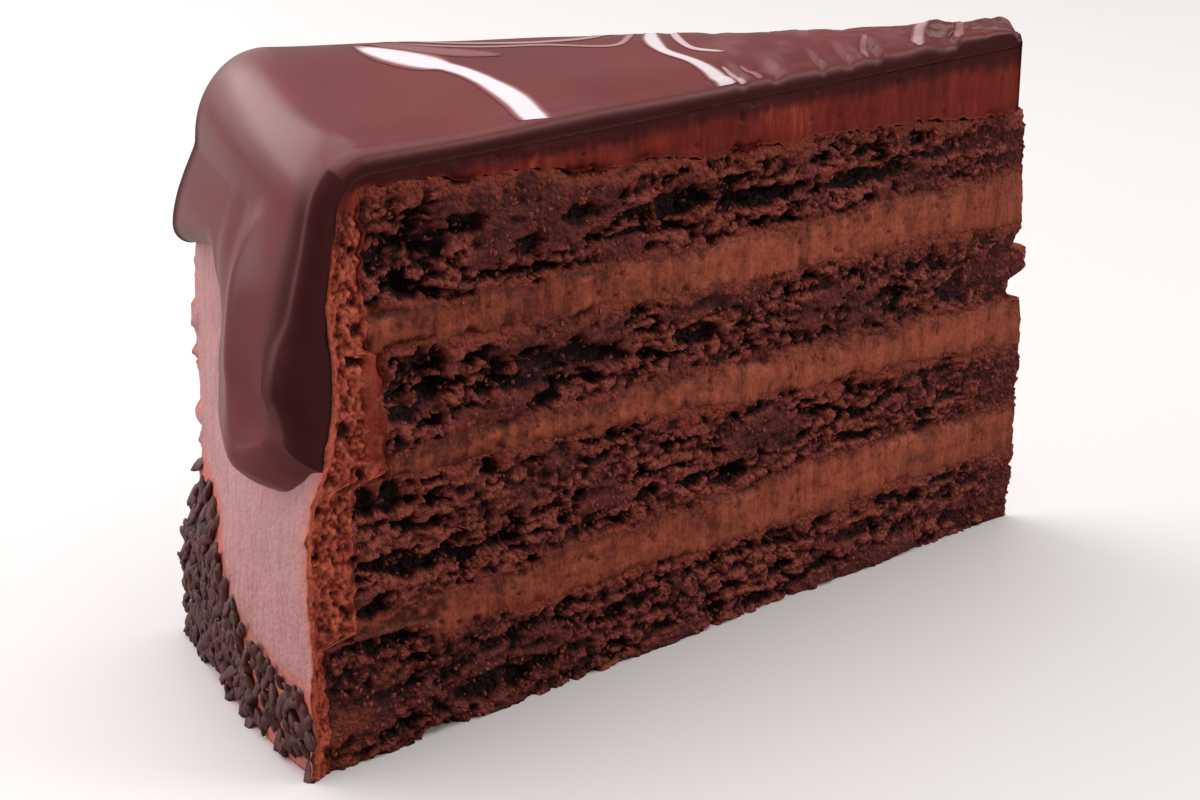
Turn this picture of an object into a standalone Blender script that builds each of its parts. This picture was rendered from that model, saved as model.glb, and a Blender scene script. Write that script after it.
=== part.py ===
"""A slice of chocolate layer cake: four sponges, three fillings, a frosting coat and a poured glaze.

The coat goes over the top and down the rim, where chocolate flakes are pressed into its foot, and
the glaze runs over the edge in a thick drip and a lip.
"""

import math
import random

import bmesh
import bpy
from mathutils import Matrix, Vector, noise

MM = 0.001  # sizes are in millimetres, and Blender works in metres

# The slice, cut from the middle of a round cake to its rim
SLICE_ANGLE = math.radians(21.8)  # about a sixteenth of the cake
HALF_ANGLE = SLICE_ANGLE / 2
CAKE_CENTRE = (67.9, 0.4)  # where the two cuts would meet, so that the origin is under the middle
CUT_REACH = 130.5  # from there to the corner of rim and board, along a cut
GAP = 0.3  # left between neighbouring solids

# Heights of the boundaries between layers, as (distance in from the rim corner, height)
BOUNDARIES = (
    ((0, 0.0), (130, 0.0)),
    ((0, 17.4), (14, 17.0), (22, 13.7), (60, 13.1), (130, 11.5)),
    ((0, 18.8), (14, 18.9), (22, 19.3), (70, 20.0), (130, 19.0)),
    ((0, 38.2), (30, 37.0), (50, 36.0), (70, 33.5), (90, 32.0), (130, 29.3)),
    ((0, 40.6), (50, 40.0), (90, 38.5), (130, 36.4)),
    ((0, 55.2), (30, 54.0), (50, 52.3), (90, 51.0), (130, 48.8)),
    ((0, 60.0), (20, 59.2), (50, 58.0), (90, 57.0), (130, 56.8)),
    ((0, 75.9), (8, 75.6), (30, 73.6), (50, 71.5), (70, 70.0), (90, 69.2), (130, 65.8)),
)
COAT_TOP = ((0, 77.2), (130, 76.4))
# Each layer from the board up, with the radius at which the coat begins
LAYERS = (
    ("sponge_1", 129.9),
    ("filling_1", 125.0),
    ("sponge_2", 125.0),
    ("filling_2", 119.5),
    ("sponge_3", 119.5),
    ("filling_3", 122.0),
    ("sponge_4", 122.0),
)
CORE_LEAN = 2.4  # the far corner of the rim lies nearer to the middle of the cake
WAVE = 0.35  # how far the boundaries wander
WAVE_LENGTH = 9.0
WAVE_CLEAR, WAVE_FADE = 6, 10  # none up to this distance from the rim, growing over the next

# The blunt tip: its distance from the meeting point of the cuts, as (height, radius)
TIP = (
    (0, 1.6), (9, 1.1), (33, 1.0), (36.6, 1.6), (37.4, 4.4), (40.4, 4.2), (41.2, 1.0),
    (44.0, 1.0), (45.4, 4.0), (48.0, 2.2), (60, 3.0), (68, 3.4), (76, 4.6), (84, 6.0),
)
# The coat's outside on the rim, as (height, radius), at the near cut and at the far one
RIM_NEAR = (
    (0, 132.2), (30, 132.1), (35, 131.6), (38, 130.6), (42, 128.9), (46, 127.9), (51, 127.3),
    (56, 127.4), (62, 127.8), (66, 127.2), (72, 126.1), (90, 124.8),
)
RIM_FAR = (
    (0, 130.5), (14, 130.1), (18, 129.6), (24, 128.5), (30, 127.9), (50, 127.7), (57, 127.1),
    (61, 126.8), (64, 126.4), (66, 125.8), (69, 124.5), (72, 123.3), (90, 121.5),
)
NEAR_CORNER, FAR_CORNER = 5.0, 6.5  # radius of the coat's top edge at the two cuts
ROW_STEP = 6.0  # rows of the coat down the rim
COAT_STATIONS = 22  # from the tip to its top edge
COAT_EDGE_STEPS = 4  # round its top edge
COAT_ACROSS, COAT_THROUGH = 6, 2  # steps from cut to cut, and from its inside to its outside
COAT_INNER_STEP = 0.8  # spacing of its inner points at the top edge
WALL_DROP = 2.0  # its wall's first row lies this far under the top layer's upper edge
LEDGE_SPREAD = 0.7  # its outer rows are spread by this at a ledge of the layers

# Torn crumb on the cuts
CRUMB_DEPTH = 1.15
CRUMB_LENGTH, CRUMB_HEIGHT = 6.5, 3.4  # size of the crags
STATION_STEP = 2.9  # spacing of the points along a cut
CRUMB_ROWS = {"sponge_1": 6, "sponge_2": 7, "sponge_3": 6, "sponge_4": 6}
FILLING_ROWS = 2
RIM_STEPS = 4
DEEPEST_SHARE = 0.55  # of the half width, so that the cuts never meet
# Larger holes, as (distance from the rim, height, half length, half height, depth)
NEAR_TEARS = (
    (58, 64.2, 9, 1.6, 3.6), (74, 62.6, 9, 1.5, 3.2), (94, 61.8, 9, 1.3, 2.8), (113, 63.2, 9, 1.3, 2.0),
    (15, 65.5, 6, 5.5, 2.6), (24, 68.5, 3, 1.5, 2.2), (33, 63.5, 3, 1.5, 2.2), (42, 66.0, 3, 1.6, 1.8),
    (16, 49.0, 5, 6.0, 2.4), (38, 46.5, 12, 3.0, 2.8), (63, 45.5, 5, 1.5, 2.4), (121, 42.5, 7, 2.2, 1.6),
    (10, 35.5, 5, 3.6, 3.0), (72, 32.0, 4, 1.2, 2.2), (69, 22.5, 4, 1.2, 2.4), (112, 27.5, 4, 2.6, 2.0),
    (10, 16.0, 6, 1.8, 2.4), (30, 4.5, 9, 1.8, 2.0), (52, 8.5, 5, 1.4, 1.6), (96, 7.0, 6, 1.3, 1.6),
)
FAR_TEARS = (
    (20, 66.0, 7, 2.2, 2.8), (48, 63.0, 10, 1.5, 3.0), (82, 62.5, 9, 1.4, 2.6), (106, 63.0, 7, 1.2, 2.0),
    (30, 47.5, 9, 2.6, 2.6), (66, 44.5, 7, 2.0, 2.4), (95, 43.0, 6, 1.6, 2.0), (14, 31.0, 5, 3.4, 2.8),
    (50, 26.5, 8, 1.8, 2.2), (88, 25.0, 6, 1.6, 2.0), (24, 8.0, 8, 2.0, 2.2), (70, 6.0, 8, 1.6, 1.8),
)

# The glaze
GLAZE_EDGE = 79.9  # height of its top at the cuts
GLAZE_CROWN = 1.2  # how much higher it is away from them
GLAZE_ROLL = 3.2  # over about this distance
FAR_RISE = 4.5  # the far corner of the rim stands higher
TOP_WAVE = 0.4
TOP_WAVE_LENGTH = 19.0
GLAZE_GAP = 0.4  # left under it, as its rows and the coat's are not level
GLAZE_STEPS = (18, 4, 9)  # along the top, round the edge and down the rim
SHOULDER_THICKNESS = 3.2  # where it turns over the edge
# Its lower edge, as (distance across the rim from the near cut, height): a wide drip, then a lip
GLAZE_FOOT = (
    (0, 41.2), (2, 40.6), (4, 38.8), (7, 37.0), (10, 36.4), (13, 37.2), (16, 39.2), (19, 42.4),
    (21.5, 47.0), (23.5, 53.0), (25.2, 58.0), (27, 60.6), (30, 61.5), (36, 60.8), (43, 59.2), (50, 57.2),
)
FOOT_ROUND = 3.4  # its lower edge is rounded over this height
FOOT_LEAST = 0.3  # share of the thickness left at the very edge
# Thickness on the rim: the distances across, then a row of thicknesses for each height
RIM_PLACES = (0, 3, 10, 17, 21, 25, 35, 50)
RIM_THICKNESS = (
    (36, (5.0, 5.2, 5.8, 4.8, 3.2, 2.0, 2.0, 2.0)),
    (45, (5.4, 5.5, 6.8, 5.9, 4.0, 1.8, 2.0, 2.0)),
    (52, (7.6, 6.3, 6.9, 6.1, 4.2, 2.0, 2.4, 2.6)),
    (57, (6.3, 5.7, 6.4, 5.7, 4.3, 2.8, 3.2, 3.4)),
    (61, (4.2, 4.5, 5.6, 5.0, 4.2, 3.4, 3.5, 3.8)),
    (66, (3.5, 3.8, 4.4, 4.2, 3.8, 3.4, 3.3, 3.3)),
    (72, (3.2, 3.2, 3.4, 3.4, 3.3, 3.2, 3.2, 3.2)),
)

# Chocolate flakes on the foot of the rim
FLAKE_LENGTH, FLAKE_WIDTH, FLAKE_THICKNESS = 3.7, 1.5, 1.7
FLAKE_OUT = 0.45  # their middles stand off the coat by this
FLAKE_TILT = 0.75
FLAKE_TOP = ((0, 12.5), (20, 14.0), (27, 17.5), (35, 26.0), (50, 28.0))  # upper edge of the flakes
FLAKE_STEP = 2.85  # spacing of the flakes
FLAKE_NEAR_CLEAR, FLAKE_FAR_CLEAR = 3.0, 2.0  # kept clear of the two cuts
FLAKE_FOOT = 2.5  # height of the lowest row
FLAKE_SHIFT = 0.6  # each is moved by up to this
FLAKE_SCALES = (0.85, 1.15)
FLAKE_OUTLINE = ((-0.5, 0.0), (-0.34, 0.46), (0.30, 0.5), (0.5, 0.05), (0.33, -0.46), (-0.30, -0.5))
FLAKE_TAPER = 0.78  # size of its outer face to the inner one's
FLAKE_SEED = 11

SPONGE_COLOUR = (0.052, 0.016, 0.012)
FILLING_COLOUR = (0.205, 0.062, 0.036)
COAT_COLOUR = (0.165, 0.040, 0.024)
GLAZE_COLOUR = (0.120, 0.034, 0.028)


def along(table, x):
    """Value of a table of (place, value) pairs at x, straight between the pairs."""
    if x <= table[0][0]:
        return table[0][1]
    for (x0, y0), (x1, y1) in zip(table, table[1:]):
        if x <= x1:
            return y0 + (y1 - y0) * (x - x0) / (x1 - x0)
    return table[-1][1]


def smooth(x):
    """0 to 1 with level ends."""
    x = min(1.0, max(0.0, x))
    return x * x * (3 - 2 * x)


def place(radius, across, height, inward=0.0):
    """World point in metres. across runs from 0 at the near cut to 1 at the far one.

    inward moves a point of either cut into the slice, square to that cut.
    """
    angle = (across - 0.5) * SLICE_ANGLE
    x = CAKE_CENTRE[0] - radius * math.cos(angle)
    y = CAKE_CENTRE[1] + radius * math.sin(angle)
    if inward:
        side = 1 if across < 0.5 else -1
        x -= inward * math.sin(HALF_ANGLE)
        y += side * inward * math.cos(HALF_ANGLE)
    return Vector((x, y, height)) * MM


def material(name, colour, roughness):
    """A plain Principled finish."""
    made = bpy.data.materials.new(name)
    made.use_nodes = True
    shader = made.node_tree.nodes["Principled BSDF"]
    shader.inputs["Base Color"].default_value = (*colour, 1.0)
    shader.inputs["Roughness"].default_value = roughness
    made.diffuse_color = (*colour, 1.0)
    return made


def finish(name, bm, surface, collection=None):
    """Turns a bmesh into a named object whose faces point outwards."""
    bmesh.ops.recalc_face_normals(bm, faces=bm.faces)
    mesh = bpy.data.meshes.new(name)
    bm.to_mesh(mesh)
    bm.free()
    mesh.materials.append(surface)
    obj = bpy.data.objects.new(name, mesh)
    (collection or bpy.context.scene.collection).objects.link(obj)
    return obj


def grid_faces(bm, grid):
    """Quads between the rows of a grid of vertices."""
    for row, following in zip(grid, grid[1:]):
        for j in range(len(row) - 1):
            bm.faces.new((row[j], row[j + 1], following[j + 1], following[j]))


def leaned(radius, across):
    """A radius of the near cut, brought in towards the far one."""
    return radius * (1 - CORE_LEAN * across / CUT_REACH)


def boundary(index, inset, across):
    """Height of a boundary at a distance in from the rim, with a wander that dies out at the rim."""
    height = along(BOUNDARIES[index], inset)
    if index in (0, len(LAYERS)):
        return height
    near, far = (noise.noise(Vector((inset / WAVE_LENGTH, index * 7.3, side))) for side in (0.0, 2.1))
    wander = near + (far - near) * across
    return height + WAVE * wander * smooth((inset - WAVE_CLEAR) / WAVE_FADE)


def tear_depth(tears, inset, height):
    """Depth of the larger holes at a point of a cut."""
    depth = 0.0
    for centre, level, half_length, half_height, deep in tears:
        gone = ((inset - centre) / half_length) ** 2 + ((height - level) / half_height) ** 2
        depth = max(depth, deep * (1 - smooth(gone - 0.35)))
    return depth


def crumb_depth(radius, height, across):
    """How far the torn crumb lies behind the plane of the cut."""
    inset = CUT_REACH - radius
    where = Vector((inset / CRUMB_LENGTH, height / CRUMB_HEIGHT, 11.0 * across))
    crag = noise.noise(where) + 0.6 * noise.noise(where * 2.3)
    depth = CRUMB_DEPTH * max(0.0, 0.45 + 0.75 * crag)
    depth += tear_depth(FAR_TEARS if across > 0.5 else NEAR_TEARS, inset, height)
    return min(depth, DEEPEST_SHARE * radius * math.tan(HALF_ANGLE))


def smeared_depth(radius, height, across):
    """The knife leaves soft filling nearly flat, with shallow dents."""
    where = Vector(((CUT_REACH - radius) / 8.0, height / 3.0, 5.0 + 9.0 * across))
    depth = 0.35 + 0.35 * noise.noise(where)
    return min(depth, DEEPEST_SHARE * radius * math.tan(HALF_ANGLE))


def level_pair(index, inset, across):
    """Heights of the underside and the top of a layer, a gap away from its neighbours."""
    low = boundary(index, inset, across) + (GAP / 2 if index else 0.0)
    return low, boundary(index + 1, inset, across) - GAP / 2


def build_cut_grid(bm, index, across, stations, rows):
    """The torn face of a layer at one cut, as columns of vertices from the tip to the rim."""
    name, near_radius = LAYERS[index]
    depth_at = crumb_depth if name.startswith("sponge") else smeared_depth
    rim_radius = leaned(near_radius, across)
    grid = []
    for i in range(stations + 1):
        share = i / stations
        low, high = level_pair(index, CUT_REACH - rim_radius * share, across)
        column = []
        for j in range(rows + 1):
            height = low + (high - low) * j / rows
            tip = along(TIP, height)
            radius = tip + (rim_radius - tip) * share
            column.append(bm.verts.new(place(radius, across, height, depth_at(radius, height, across))))
        grid.append(column)
    grid_faces(bm, grid)
    return grid


def build_layer(index, surface):
    """One layer of the stack: both cuts carry a grid of points, the other sides are plain strips."""
    name, near_radius = LAYERS[index]
    stations = round(CUT_REACH / STATION_STEP)
    rows = CRUMB_ROWS[name] if name in CRUMB_ROWS else FILLING_ROWS
    bm = bmesh.new()
    near = build_cut_grid(bm, index, 0.0, stations, rows)
    far = build_cut_grid(bm, index, 1.0, stations, rows)
    for j in range(rows):
        bm.faces.new((near[0][j], near[0][j + 1], far[0][j + 1], far[0][j]))
    for level in (0, -1):
        for i in range(stations - 1):
            bm.faces.new((near[i][level], near[i + 1][level], far[i + 1][level], far[i][level]))
    rim = []
    for k in range(1, RIM_STEPS):
        across = k / RIM_STEPS
        radius = leaned(near_radius, across)
        heights = level_pair(index, CUT_REACH - radius, across)
        rim.append([bm.verts.new(place(radius, across, z)) for z in heights])
    for level in (0, -1):
        bm.faces.new(
            [near[-2][level], near[-1][level], *(pair[level] for pair in rim), far[-1][level], far[-2][level]]
        )
    bm.faces.new([*near[-1], rim[0][1], rim[0][0]])
    for one, other in zip(rim, rim[1:]):
        bm.faces.new((one[0], one[1], other[1], other[0]))
    bm.faces.new([*far[-1], rim[-1][1], rim[-1][0]])
    return finish(name, bm, surface)


def rim_radius_at(height, across):
    """Radius of the coat's outside on the rim."""
    near = along(RIM_NEAR, height)
    return near + (along(RIM_FAR, height) - near) * smooth(across)


def coat_outline(place_on, across, foot=0.0):
    """Point (radius, height) on the outside of the coat.

    place_on runs from 0 at the tip to 1 where the rounded edge begins, to 2 where it ends on the
    rim, and to 3 at the height foot.
    """
    corner = NEAR_CORNER + (FAR_CORNER - NEAR_CORNER) * smooth(across)
    edge_top = along(COAT_TOP, corner)
    corner_radius = rim_radius_at(edge_top - corner, across) - corner
    if place_on <= 1:
        tip = along(TIP, edge_top)
        radius = tip + (corner_radius - tip) * place_on
        return radius, along(COAT_TOP, CUT_REACH - radius)
    if place_on <= 2:
        turn = (place_on - 1) * math.pi / 2
        return (
            corner_radius + corner * math.sin(turn),
            edge_top - corner * (1 - math.cos(turn)),
        )
    height = edge_top - corner - (place_on - 2) * (edge_top - corner - foot)
    return rim_radius_at(height, across), height


def offset_outline(place_on, distance, across, foot=0.0):
    """A point that stands off the coat's outside by a distance."""
    step = 0.004
    before = Vector(coat_outline(max(0.0, place_on - step), across, foot))
    after = Vector(coat_outline(min(3.0, place_on + step), across, foot))
    run = (after - before).normalized()
    here = Vector(coat_outline(place_on, across, foot))
    return here + Vector((-run.y, run.x)) * distance


def lattice(bm, columns):
    """Closes a block of points columns[a][b][c]: a along its path, b across the slice, c in to out."""
    last_a, last_b, last_c = len(columns) - 1, len(columns[0]) - 1, len(columns[0][0]) - 1
    for c in (0, last_c):
        grid_faces(bm, [[columns[a][b][c] for b in range(last_b + 1)] for a in range(last_a + 1)])
    for b in (0, last_b):
        grid_faces(bm, [[columns[a][b][c] for c in range(last_c + 1)] for a in range(last_a + 1)])
    for a in (0, last_a):
        grid_faces(bm, [[columns[a][b][c] for c in range(last_c + 1)] for b in range(last_b + 1)])


def lattice_vertices(bm, points):
    """Vertices for the outside of a block of points, with none inside it."""
    last_a, last_b, last_c = len(points) - 1, len(points[0]) - 1, len(points[0][0]) - 1
    return [
        [
            [
                bm.verts.new(point) if a in (0, last_a) or b in (0, last_b) or c in (0, last_c) else None
                for c, point in enumerate(row)
            ]
            for b, row in enumerate(plane)
        ]
        for a, plane in enumerate(points)
    ]


def coat_sections():
    """Pairs of an inside point (radius, height) and a place on the outside, tip to board."""
    top_layer = len(LAYERS) - 1
    wall = LAYERS[top_layer][1] + GAP
    pairs = []
    last_turn = COAT_EDGE_STEPS - 1
    for i in range(COAT_STATIONS + 1):
        share = i / COAT_STATIONS
        tip = along(TIP, COAT_TOP[0][1])
        radius = tip + (wall - last_turn * COAT_INNER_STEP - tip) * share
        pairs.append((radius, boundary(top_layer + 1, CUT_REACH - radius, 0.0) + GAP / 2, share))
    for i in range(1, COAT_EDGE_STEPS):
        radius = wall - (last_turn - i) * COAT_INNER_STEP
        height = boundary(top_layer + 1, CUT_REACH - radius, 0.0) + GAP / 2
        pairs.append((radius, height, 1 + i / COAT_EDGE_STEPS))
    steps = [(wall, boundary(top_layer + 1, CUT_REACH - wall, 0.0) - WALL_DROP)]
    for index in range(top_layer, 0, -1):
        here, below = LAYERS[index][1] + GAP, LAYERS[index - 1][1] + GAP
        level = boundary(index, CUT_REACH - max(here, below), 0.0)
        level += GAP if below > here else -GAP
        steps.append((here, level))
        if below != here:
            steps.append((below, level))
            steps.append((below, level - ROW_STEP))
    steps += [(LAYERS[0][1] + GAP, ROW_STEP), (LAYERS[0][1] + GAP, 0.0)]
    edge = coat_outline(2.0, 0.0)[1]
    for k, (radius, height) in enumerate(steps):
        level = height
        if k and steps[k - 1][1] == height:
            level -= LEDGE_SPREAD
        elif k + 1 < len(steps) and steps[k + 1][1] == height:
            level += LEDGE_SPREAD
        pairs.append((radius, height, 2 + (edge - level) / edge))
    return pairs


def build_coat(surface):
    """The frosting over the top and down the rim, from the tip to the board."""
    points = []
    for radius, height, place_on in coat_sections():
        plane = []
        for b in range(COAT_ACROSS + 1):
            across = b / COAT_ACROSS
            outside = coat_outline(place_on, across)
            row = []
            for c in range(COAT_THROUGH + 1):
                share = c / COAT_THROUGH
                inner = leaned(radius, across)
                r = inner + (outside[0] - inner) * share
                z = height + (outside[1] - height) * share
                inward = smeared_depth(r, z, across) if across in (0.0, 1.0) else 0.0
                row.append(place(r, across, z, inward))
            plane.append(row)
        points.append(plane)
    bm = bmesh.new()
    lattice(bm, lattice_vertices(bm, points))
    return finish("coat", bm, surface)


def rim_frame(distance, height, out):
    """Point on the rim and its axes: along the rim, outwards and up."""
    across = distance / (CUT_REACH * SLICE_ANGLE)
    here = place(rim_radius_at(height, across) + out, across, height)
    beside = (place(rim_radius_at(height, across) + out, across + 0.01, height) - here).normalized()
    above = (place(rim_radius_at(height + 1, across) + out, across, height + 1) - here).normalized()
    outwards = above.cross(beside).normalized()
    if outwards.dot(here - place(0.0, across, height)) < 0:
        outwards.negate()
    return here, beside, outwards, above


def build_flake(name, where, turn, tilt, size, surface, collection):
    """One flake: a six-sided chip, narrower at its outer face, stood partly into the coat."""
    length, width, thickness = size
    here, beside, outwards, above = where
    axes = Matrix((beside, above, outwards)).transposed()
    axes = axes @ Matrix.Rotation(turn, 3, "Z") @ Matrix.Rotation(tilt, 3, "Y")
    bm = bmesh.new()
    rings = []
    for level, taper in ((-0.5, 1.0), (0.5, FLAKE_TAPER)):
        ring = []
        for x, y in FLAKE_OUTLINE:
            spot = axes @ Vector((x * length * taper, y * width * taper, level * thickness)) * MM
            ring.append(bm.verts.new(here + spot))
        rings.append(ring)
    for k in range(len(FLAKE_OUTLINE)):
        following = (k + 1) % len(FLAKE_OUTLINE)
        bm.faces.new((rings[0][k], rings[0][following], rings[1][following], rings[1][k]))
    bm.faces.new(rings[0])
    bm.faces.new(rings[1])
    return finish(name, bm, surface, collection)


def build_flakes(surface, collection):
    """Rows of flakes up to the edge of the sprinkled band, shifted and turned at random."""
    draw = random.Random(FLAKE_SEED)
    width = CUT_REACH * SLICE_ANGLE
    rows = int(FLAKE_TOP[-1][1] / FLAKE_STEP)
    for row in range(rows):
        for k in range(int(width / FLAKE_STEP)):
            distance = (k + 0.5 + 0.5 * (row % 2)) * FLAKE_STEP + draw.uniform(-FLAKE_SHIFT, FLAKE_SHIFT)
            height = FLAKE_FOOT + row * FLAKE_STEP + draw.uniform(-FLAKE_SHIFT, FLAKE_SHIFT)
            turn, tilt = draw.uniform(0, math.pi), draw.uniform(-FLAKE_TILT, FLAKE_TILT)
            scale = draw.uniform(*FLAKE_SCALES)
            clear = FLAKE_NEAR_CLEAR < distance < width - FLAKE_FAR_CLEAR
            if not clear or height > along(FLAKE_TOP, distance):
                continue
            size = (FLAKE_LENGTH * scale, FLAKE_WIDTH * scale, FLAKE_THICKNESS)
            where = rim_frame(distance, height, FLAKE_OUT)
            build_flake(f"flake_{row}_{k}", where, turn, tilt, size, surface, collection)


def glaze_height(radius, across):
    """Height of the glaze's top: rolled down at the cuts, crowned between them."""
    edge = min(across, 1 - across) * radius * SLICE_ANGLE
    crown = GLAZE_CROWN * (1 - math.exp(-edge / GLAZE_ROLL))
    rise = FAR_RISE * across * radius / CUT_REACH
    swell = TOP_WAVE * noise.noise(Vector((radius / TOP_WAVE_LENGTH, across * 2.2, 4.0)))
    return GLAZE_EDGE + crown + rise + swell


def rim_thickness(distance, height):
    """Thickness of the glaze at a place on the rim, rounded off at its lower edge."""
    rows = [(z, along(list(zip(RIM_PLACES, row)), distance)) for z, row in RIM_THICKNESS]
    left = min(1.0, max(0.0, (height - along(GLAZE_FOOT, distance)) / FOOT_ROUND))
    return along(rows, height) * (FOOT_LEAST + (1 - FOOT_LEAST) * math.sqrt(1 - (1 - left) ** 2))


def glaze_thickness(place_on, across, inner):
    """Thickness of the glaze at a place on the coat's outline."""
    if place_on <= 1:
        return glaze_height(inner.x, across) - inner.y
    if place_on <= 2:
        begin = coat_outline(1.0, across)
        shoulder = glaze_height(begin[0], across) - begin[1] - GLAZE_GAP
        return shoulder + (SHOULDER_THICKNESS - shoulder) * smooth(place_on - 1)
    return rim_thickness(across * CUT_REACH * SLICE_ANGLE, inner.y)


def build_glaze(surface):
    """The poured sheet over the top and down to its wavy lower edge on the rim."""
    columns = [min(1.0, distance / (CUT_REACH * SLICE_ANGLE)) for distance, _ in GLAZE_FOOT]
    path = [0.0]
    for stretch, steps in enumerate(GLAZE_STEPS):
        path += [stretch + k / steps for k in range(1, steps + 1)]
    points = []
    for place_on in path:
        plane = []
        for across in columns:
            foot = along(GLAZE_FOOT, across * CUT_REACH * SLICE_ANGLE)
            inner = offset_outline(place_on, GLAZE_GAP, across, foot)
            thickness = glaze_thickness(place_on, across, inner)
            outer = offset_outline(place_on, GLAZE_GAP + thickness, across, foot)
            plane.append([place(inner.x, across, inner.y), place(outer.x, across, outer.y)])
        points.append(plane)
    bm = bmesh.new()
    lattice(bm, lattice_vertices(bm, points))
    return finish("glaze", bm, surface)


def body_volume(faces):
    """Signed volume enclosed by triangles."""
    return sum(f.verts[0].co.dot(f.verts[1].co.cross(f.verts[2].co)) for f in faces) / 6


def keep_main_body(mesh):
    """Fills sealed hollows and drops loose scraps, which fusing can leave."""
    bm = bmesh.new()
    bm.from_mesh(mesh)
    bmesh.ops.triangulate(bm, faces=bm.faces)
    left = set(bm.faces)
    bodies = []
    while left:
        body, edge = set(), [left.pop()]
        while edge:
            face = edge.pop()
            body.add(face)
            for side in face.edges:
                for other in side.link_faces:
                    if other in left:
                        left.discard(other)
                        edge.append(other)
        bodies.append(body)
    largest = max(bodies, key=body_volume)
    for body in bodies:
        if body is not largest:
            bmesh.ops.delete(bm, geom=list(body), context="FACES")
    bm.to_mesh(mesh)
    bm.free()


def fuse(target, collection):
    """Joins a collection's objects to the target with one Boolean union, then removes them."""
    union = target.modifiers.new("Fuse", "BOOLEAN")
    union.operation = "UNION"
    union.operand_type = "COLLECTION"
    union.collection = collection
    union.solver = "MANIFOLD"
    graph = bpy.context.evaluated_depsgraph_get()
    joined = bpy.data.meshes.new_from_object(target.evaluated_get(graph))
    target.modifiers.clear()
    target.data = joined
    for obj in list(collection.objects):
        bpy.data.objects.remove(obj)
    bpy.data.collections.remove(collection)
    keep_main_body(target.data)


def new_collection(name):
    """A collection of the scene that holds pieces until they are fused."""
    made = bpy.data.collections.new(name)
    bpy.context.scene.collection.children.link(made)
    return made


def main():
    """Builds every piece in place."""
    for obj in list(bpy.data.objects):
        bpy.data.objects.remove(obj)
    sponge = material("sponge", SPONGE_COLOUR, 0.9)
    filling = material("filling", FILLING_COLOUR, 0.6)
    frosting = material("frosting", COAT_COLOUR, 0.6)
    glaze = material("glaze", GLAZE_COLOUR, 0.25)
    for index, (name, _) in enumerate(LAYERS):
        build_layer(index, sponge if name.startswith("sponge") else filling)
    coat = build_coat(frosting)
    flakes = new_collection("flakes")
    build_flakes(frosting, flakes)
    fuse(coat, flakes)
    build_glaze(glaze)


main()
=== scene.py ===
"""Looks of an upright slice of chocolate layer cake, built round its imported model.

Every solid is replaced by a finely torn, smeared or poured surface of the same form. All sizes are
in millimetres until a mesh is made.
"""

import logging
import math
from dataclasses import dataclass, field
from enum import Enum

import bpy
import numpy as np
from mathutils import Matrix, Vector, noise
from mathutils.bvhtree import BVHTree


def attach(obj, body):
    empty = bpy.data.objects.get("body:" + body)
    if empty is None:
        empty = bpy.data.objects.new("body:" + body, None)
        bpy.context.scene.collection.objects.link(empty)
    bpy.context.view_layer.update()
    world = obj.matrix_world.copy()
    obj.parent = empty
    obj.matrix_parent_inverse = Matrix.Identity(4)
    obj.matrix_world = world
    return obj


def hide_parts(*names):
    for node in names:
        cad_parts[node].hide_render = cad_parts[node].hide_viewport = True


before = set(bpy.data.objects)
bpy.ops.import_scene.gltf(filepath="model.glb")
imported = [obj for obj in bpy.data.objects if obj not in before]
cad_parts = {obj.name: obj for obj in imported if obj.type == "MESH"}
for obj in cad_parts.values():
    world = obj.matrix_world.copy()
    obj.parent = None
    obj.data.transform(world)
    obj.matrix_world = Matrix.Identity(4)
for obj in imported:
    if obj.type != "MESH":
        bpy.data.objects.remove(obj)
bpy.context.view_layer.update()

MM = 0.001
ROOT = "root"
Table = tuple[tuple[float, float], ...]
Colour = tuple[float, float, float]
Tears = tuple[tuple[float, float, float, float, float], ...]
log = logging.getLogger("cake")

CEILING, GLAZE_EDGE, WALL = 7, 8, 9  # boundaries: over the layers, under the glaze, and the coat's wall
BOUNDARY_HOLD, WALL_HOLD = 0.75, 0.7  # reach of the depth that neighbours share


class Side(Enum):
    """The two cuts of the slice, by their place across it."""

    NEAR = 0
    FAR = 1


CUTS = ((Side.NEAR, 0), (Side.FAR, -1))  # each cut and its place in a grid


class Zone(Enum):
    """Float attributes that carry a pattern from a shape to its finish."""

    # Painted shade: darkens the finish in hollows of the relief.
    PIT_SHADE = "pit_shade"
    SMEAR = "smear"
    WORN = "worn"
    CRUMB = "crumb"
    POROUS = "porous"
    RIM = "rim"
    # Painted shade on the glaze's cut side and on glaze dragged over the cut coat; on the glaze it also makes
    # the cut matte.
    CUT = "cut_side_shade"
    MILK = "milk"
    FLAKES = "flakes"


def smoothstep(low: float, high: float, x: np.ndarray) -> np.ndarray:
    """Rises from 0 at low to 1 at high with level ends.

    Args:
        low: where the rise begins; it may be the larger of the two.
        high: where the rise ends.
        x: values to read at.

    Returns:
        The risen values.
    """
    t = np.clip((x - low) / (high - low), 0.0, 1.0)
    return t * t * (3 - 2 * t)


def bell(x: np.ndarray, width: float) -> np.ndarray:
    """1 at 0, falling off smoothly on both sides within about the width."""
    return np.exp(-((x / width) ** 2))


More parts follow.
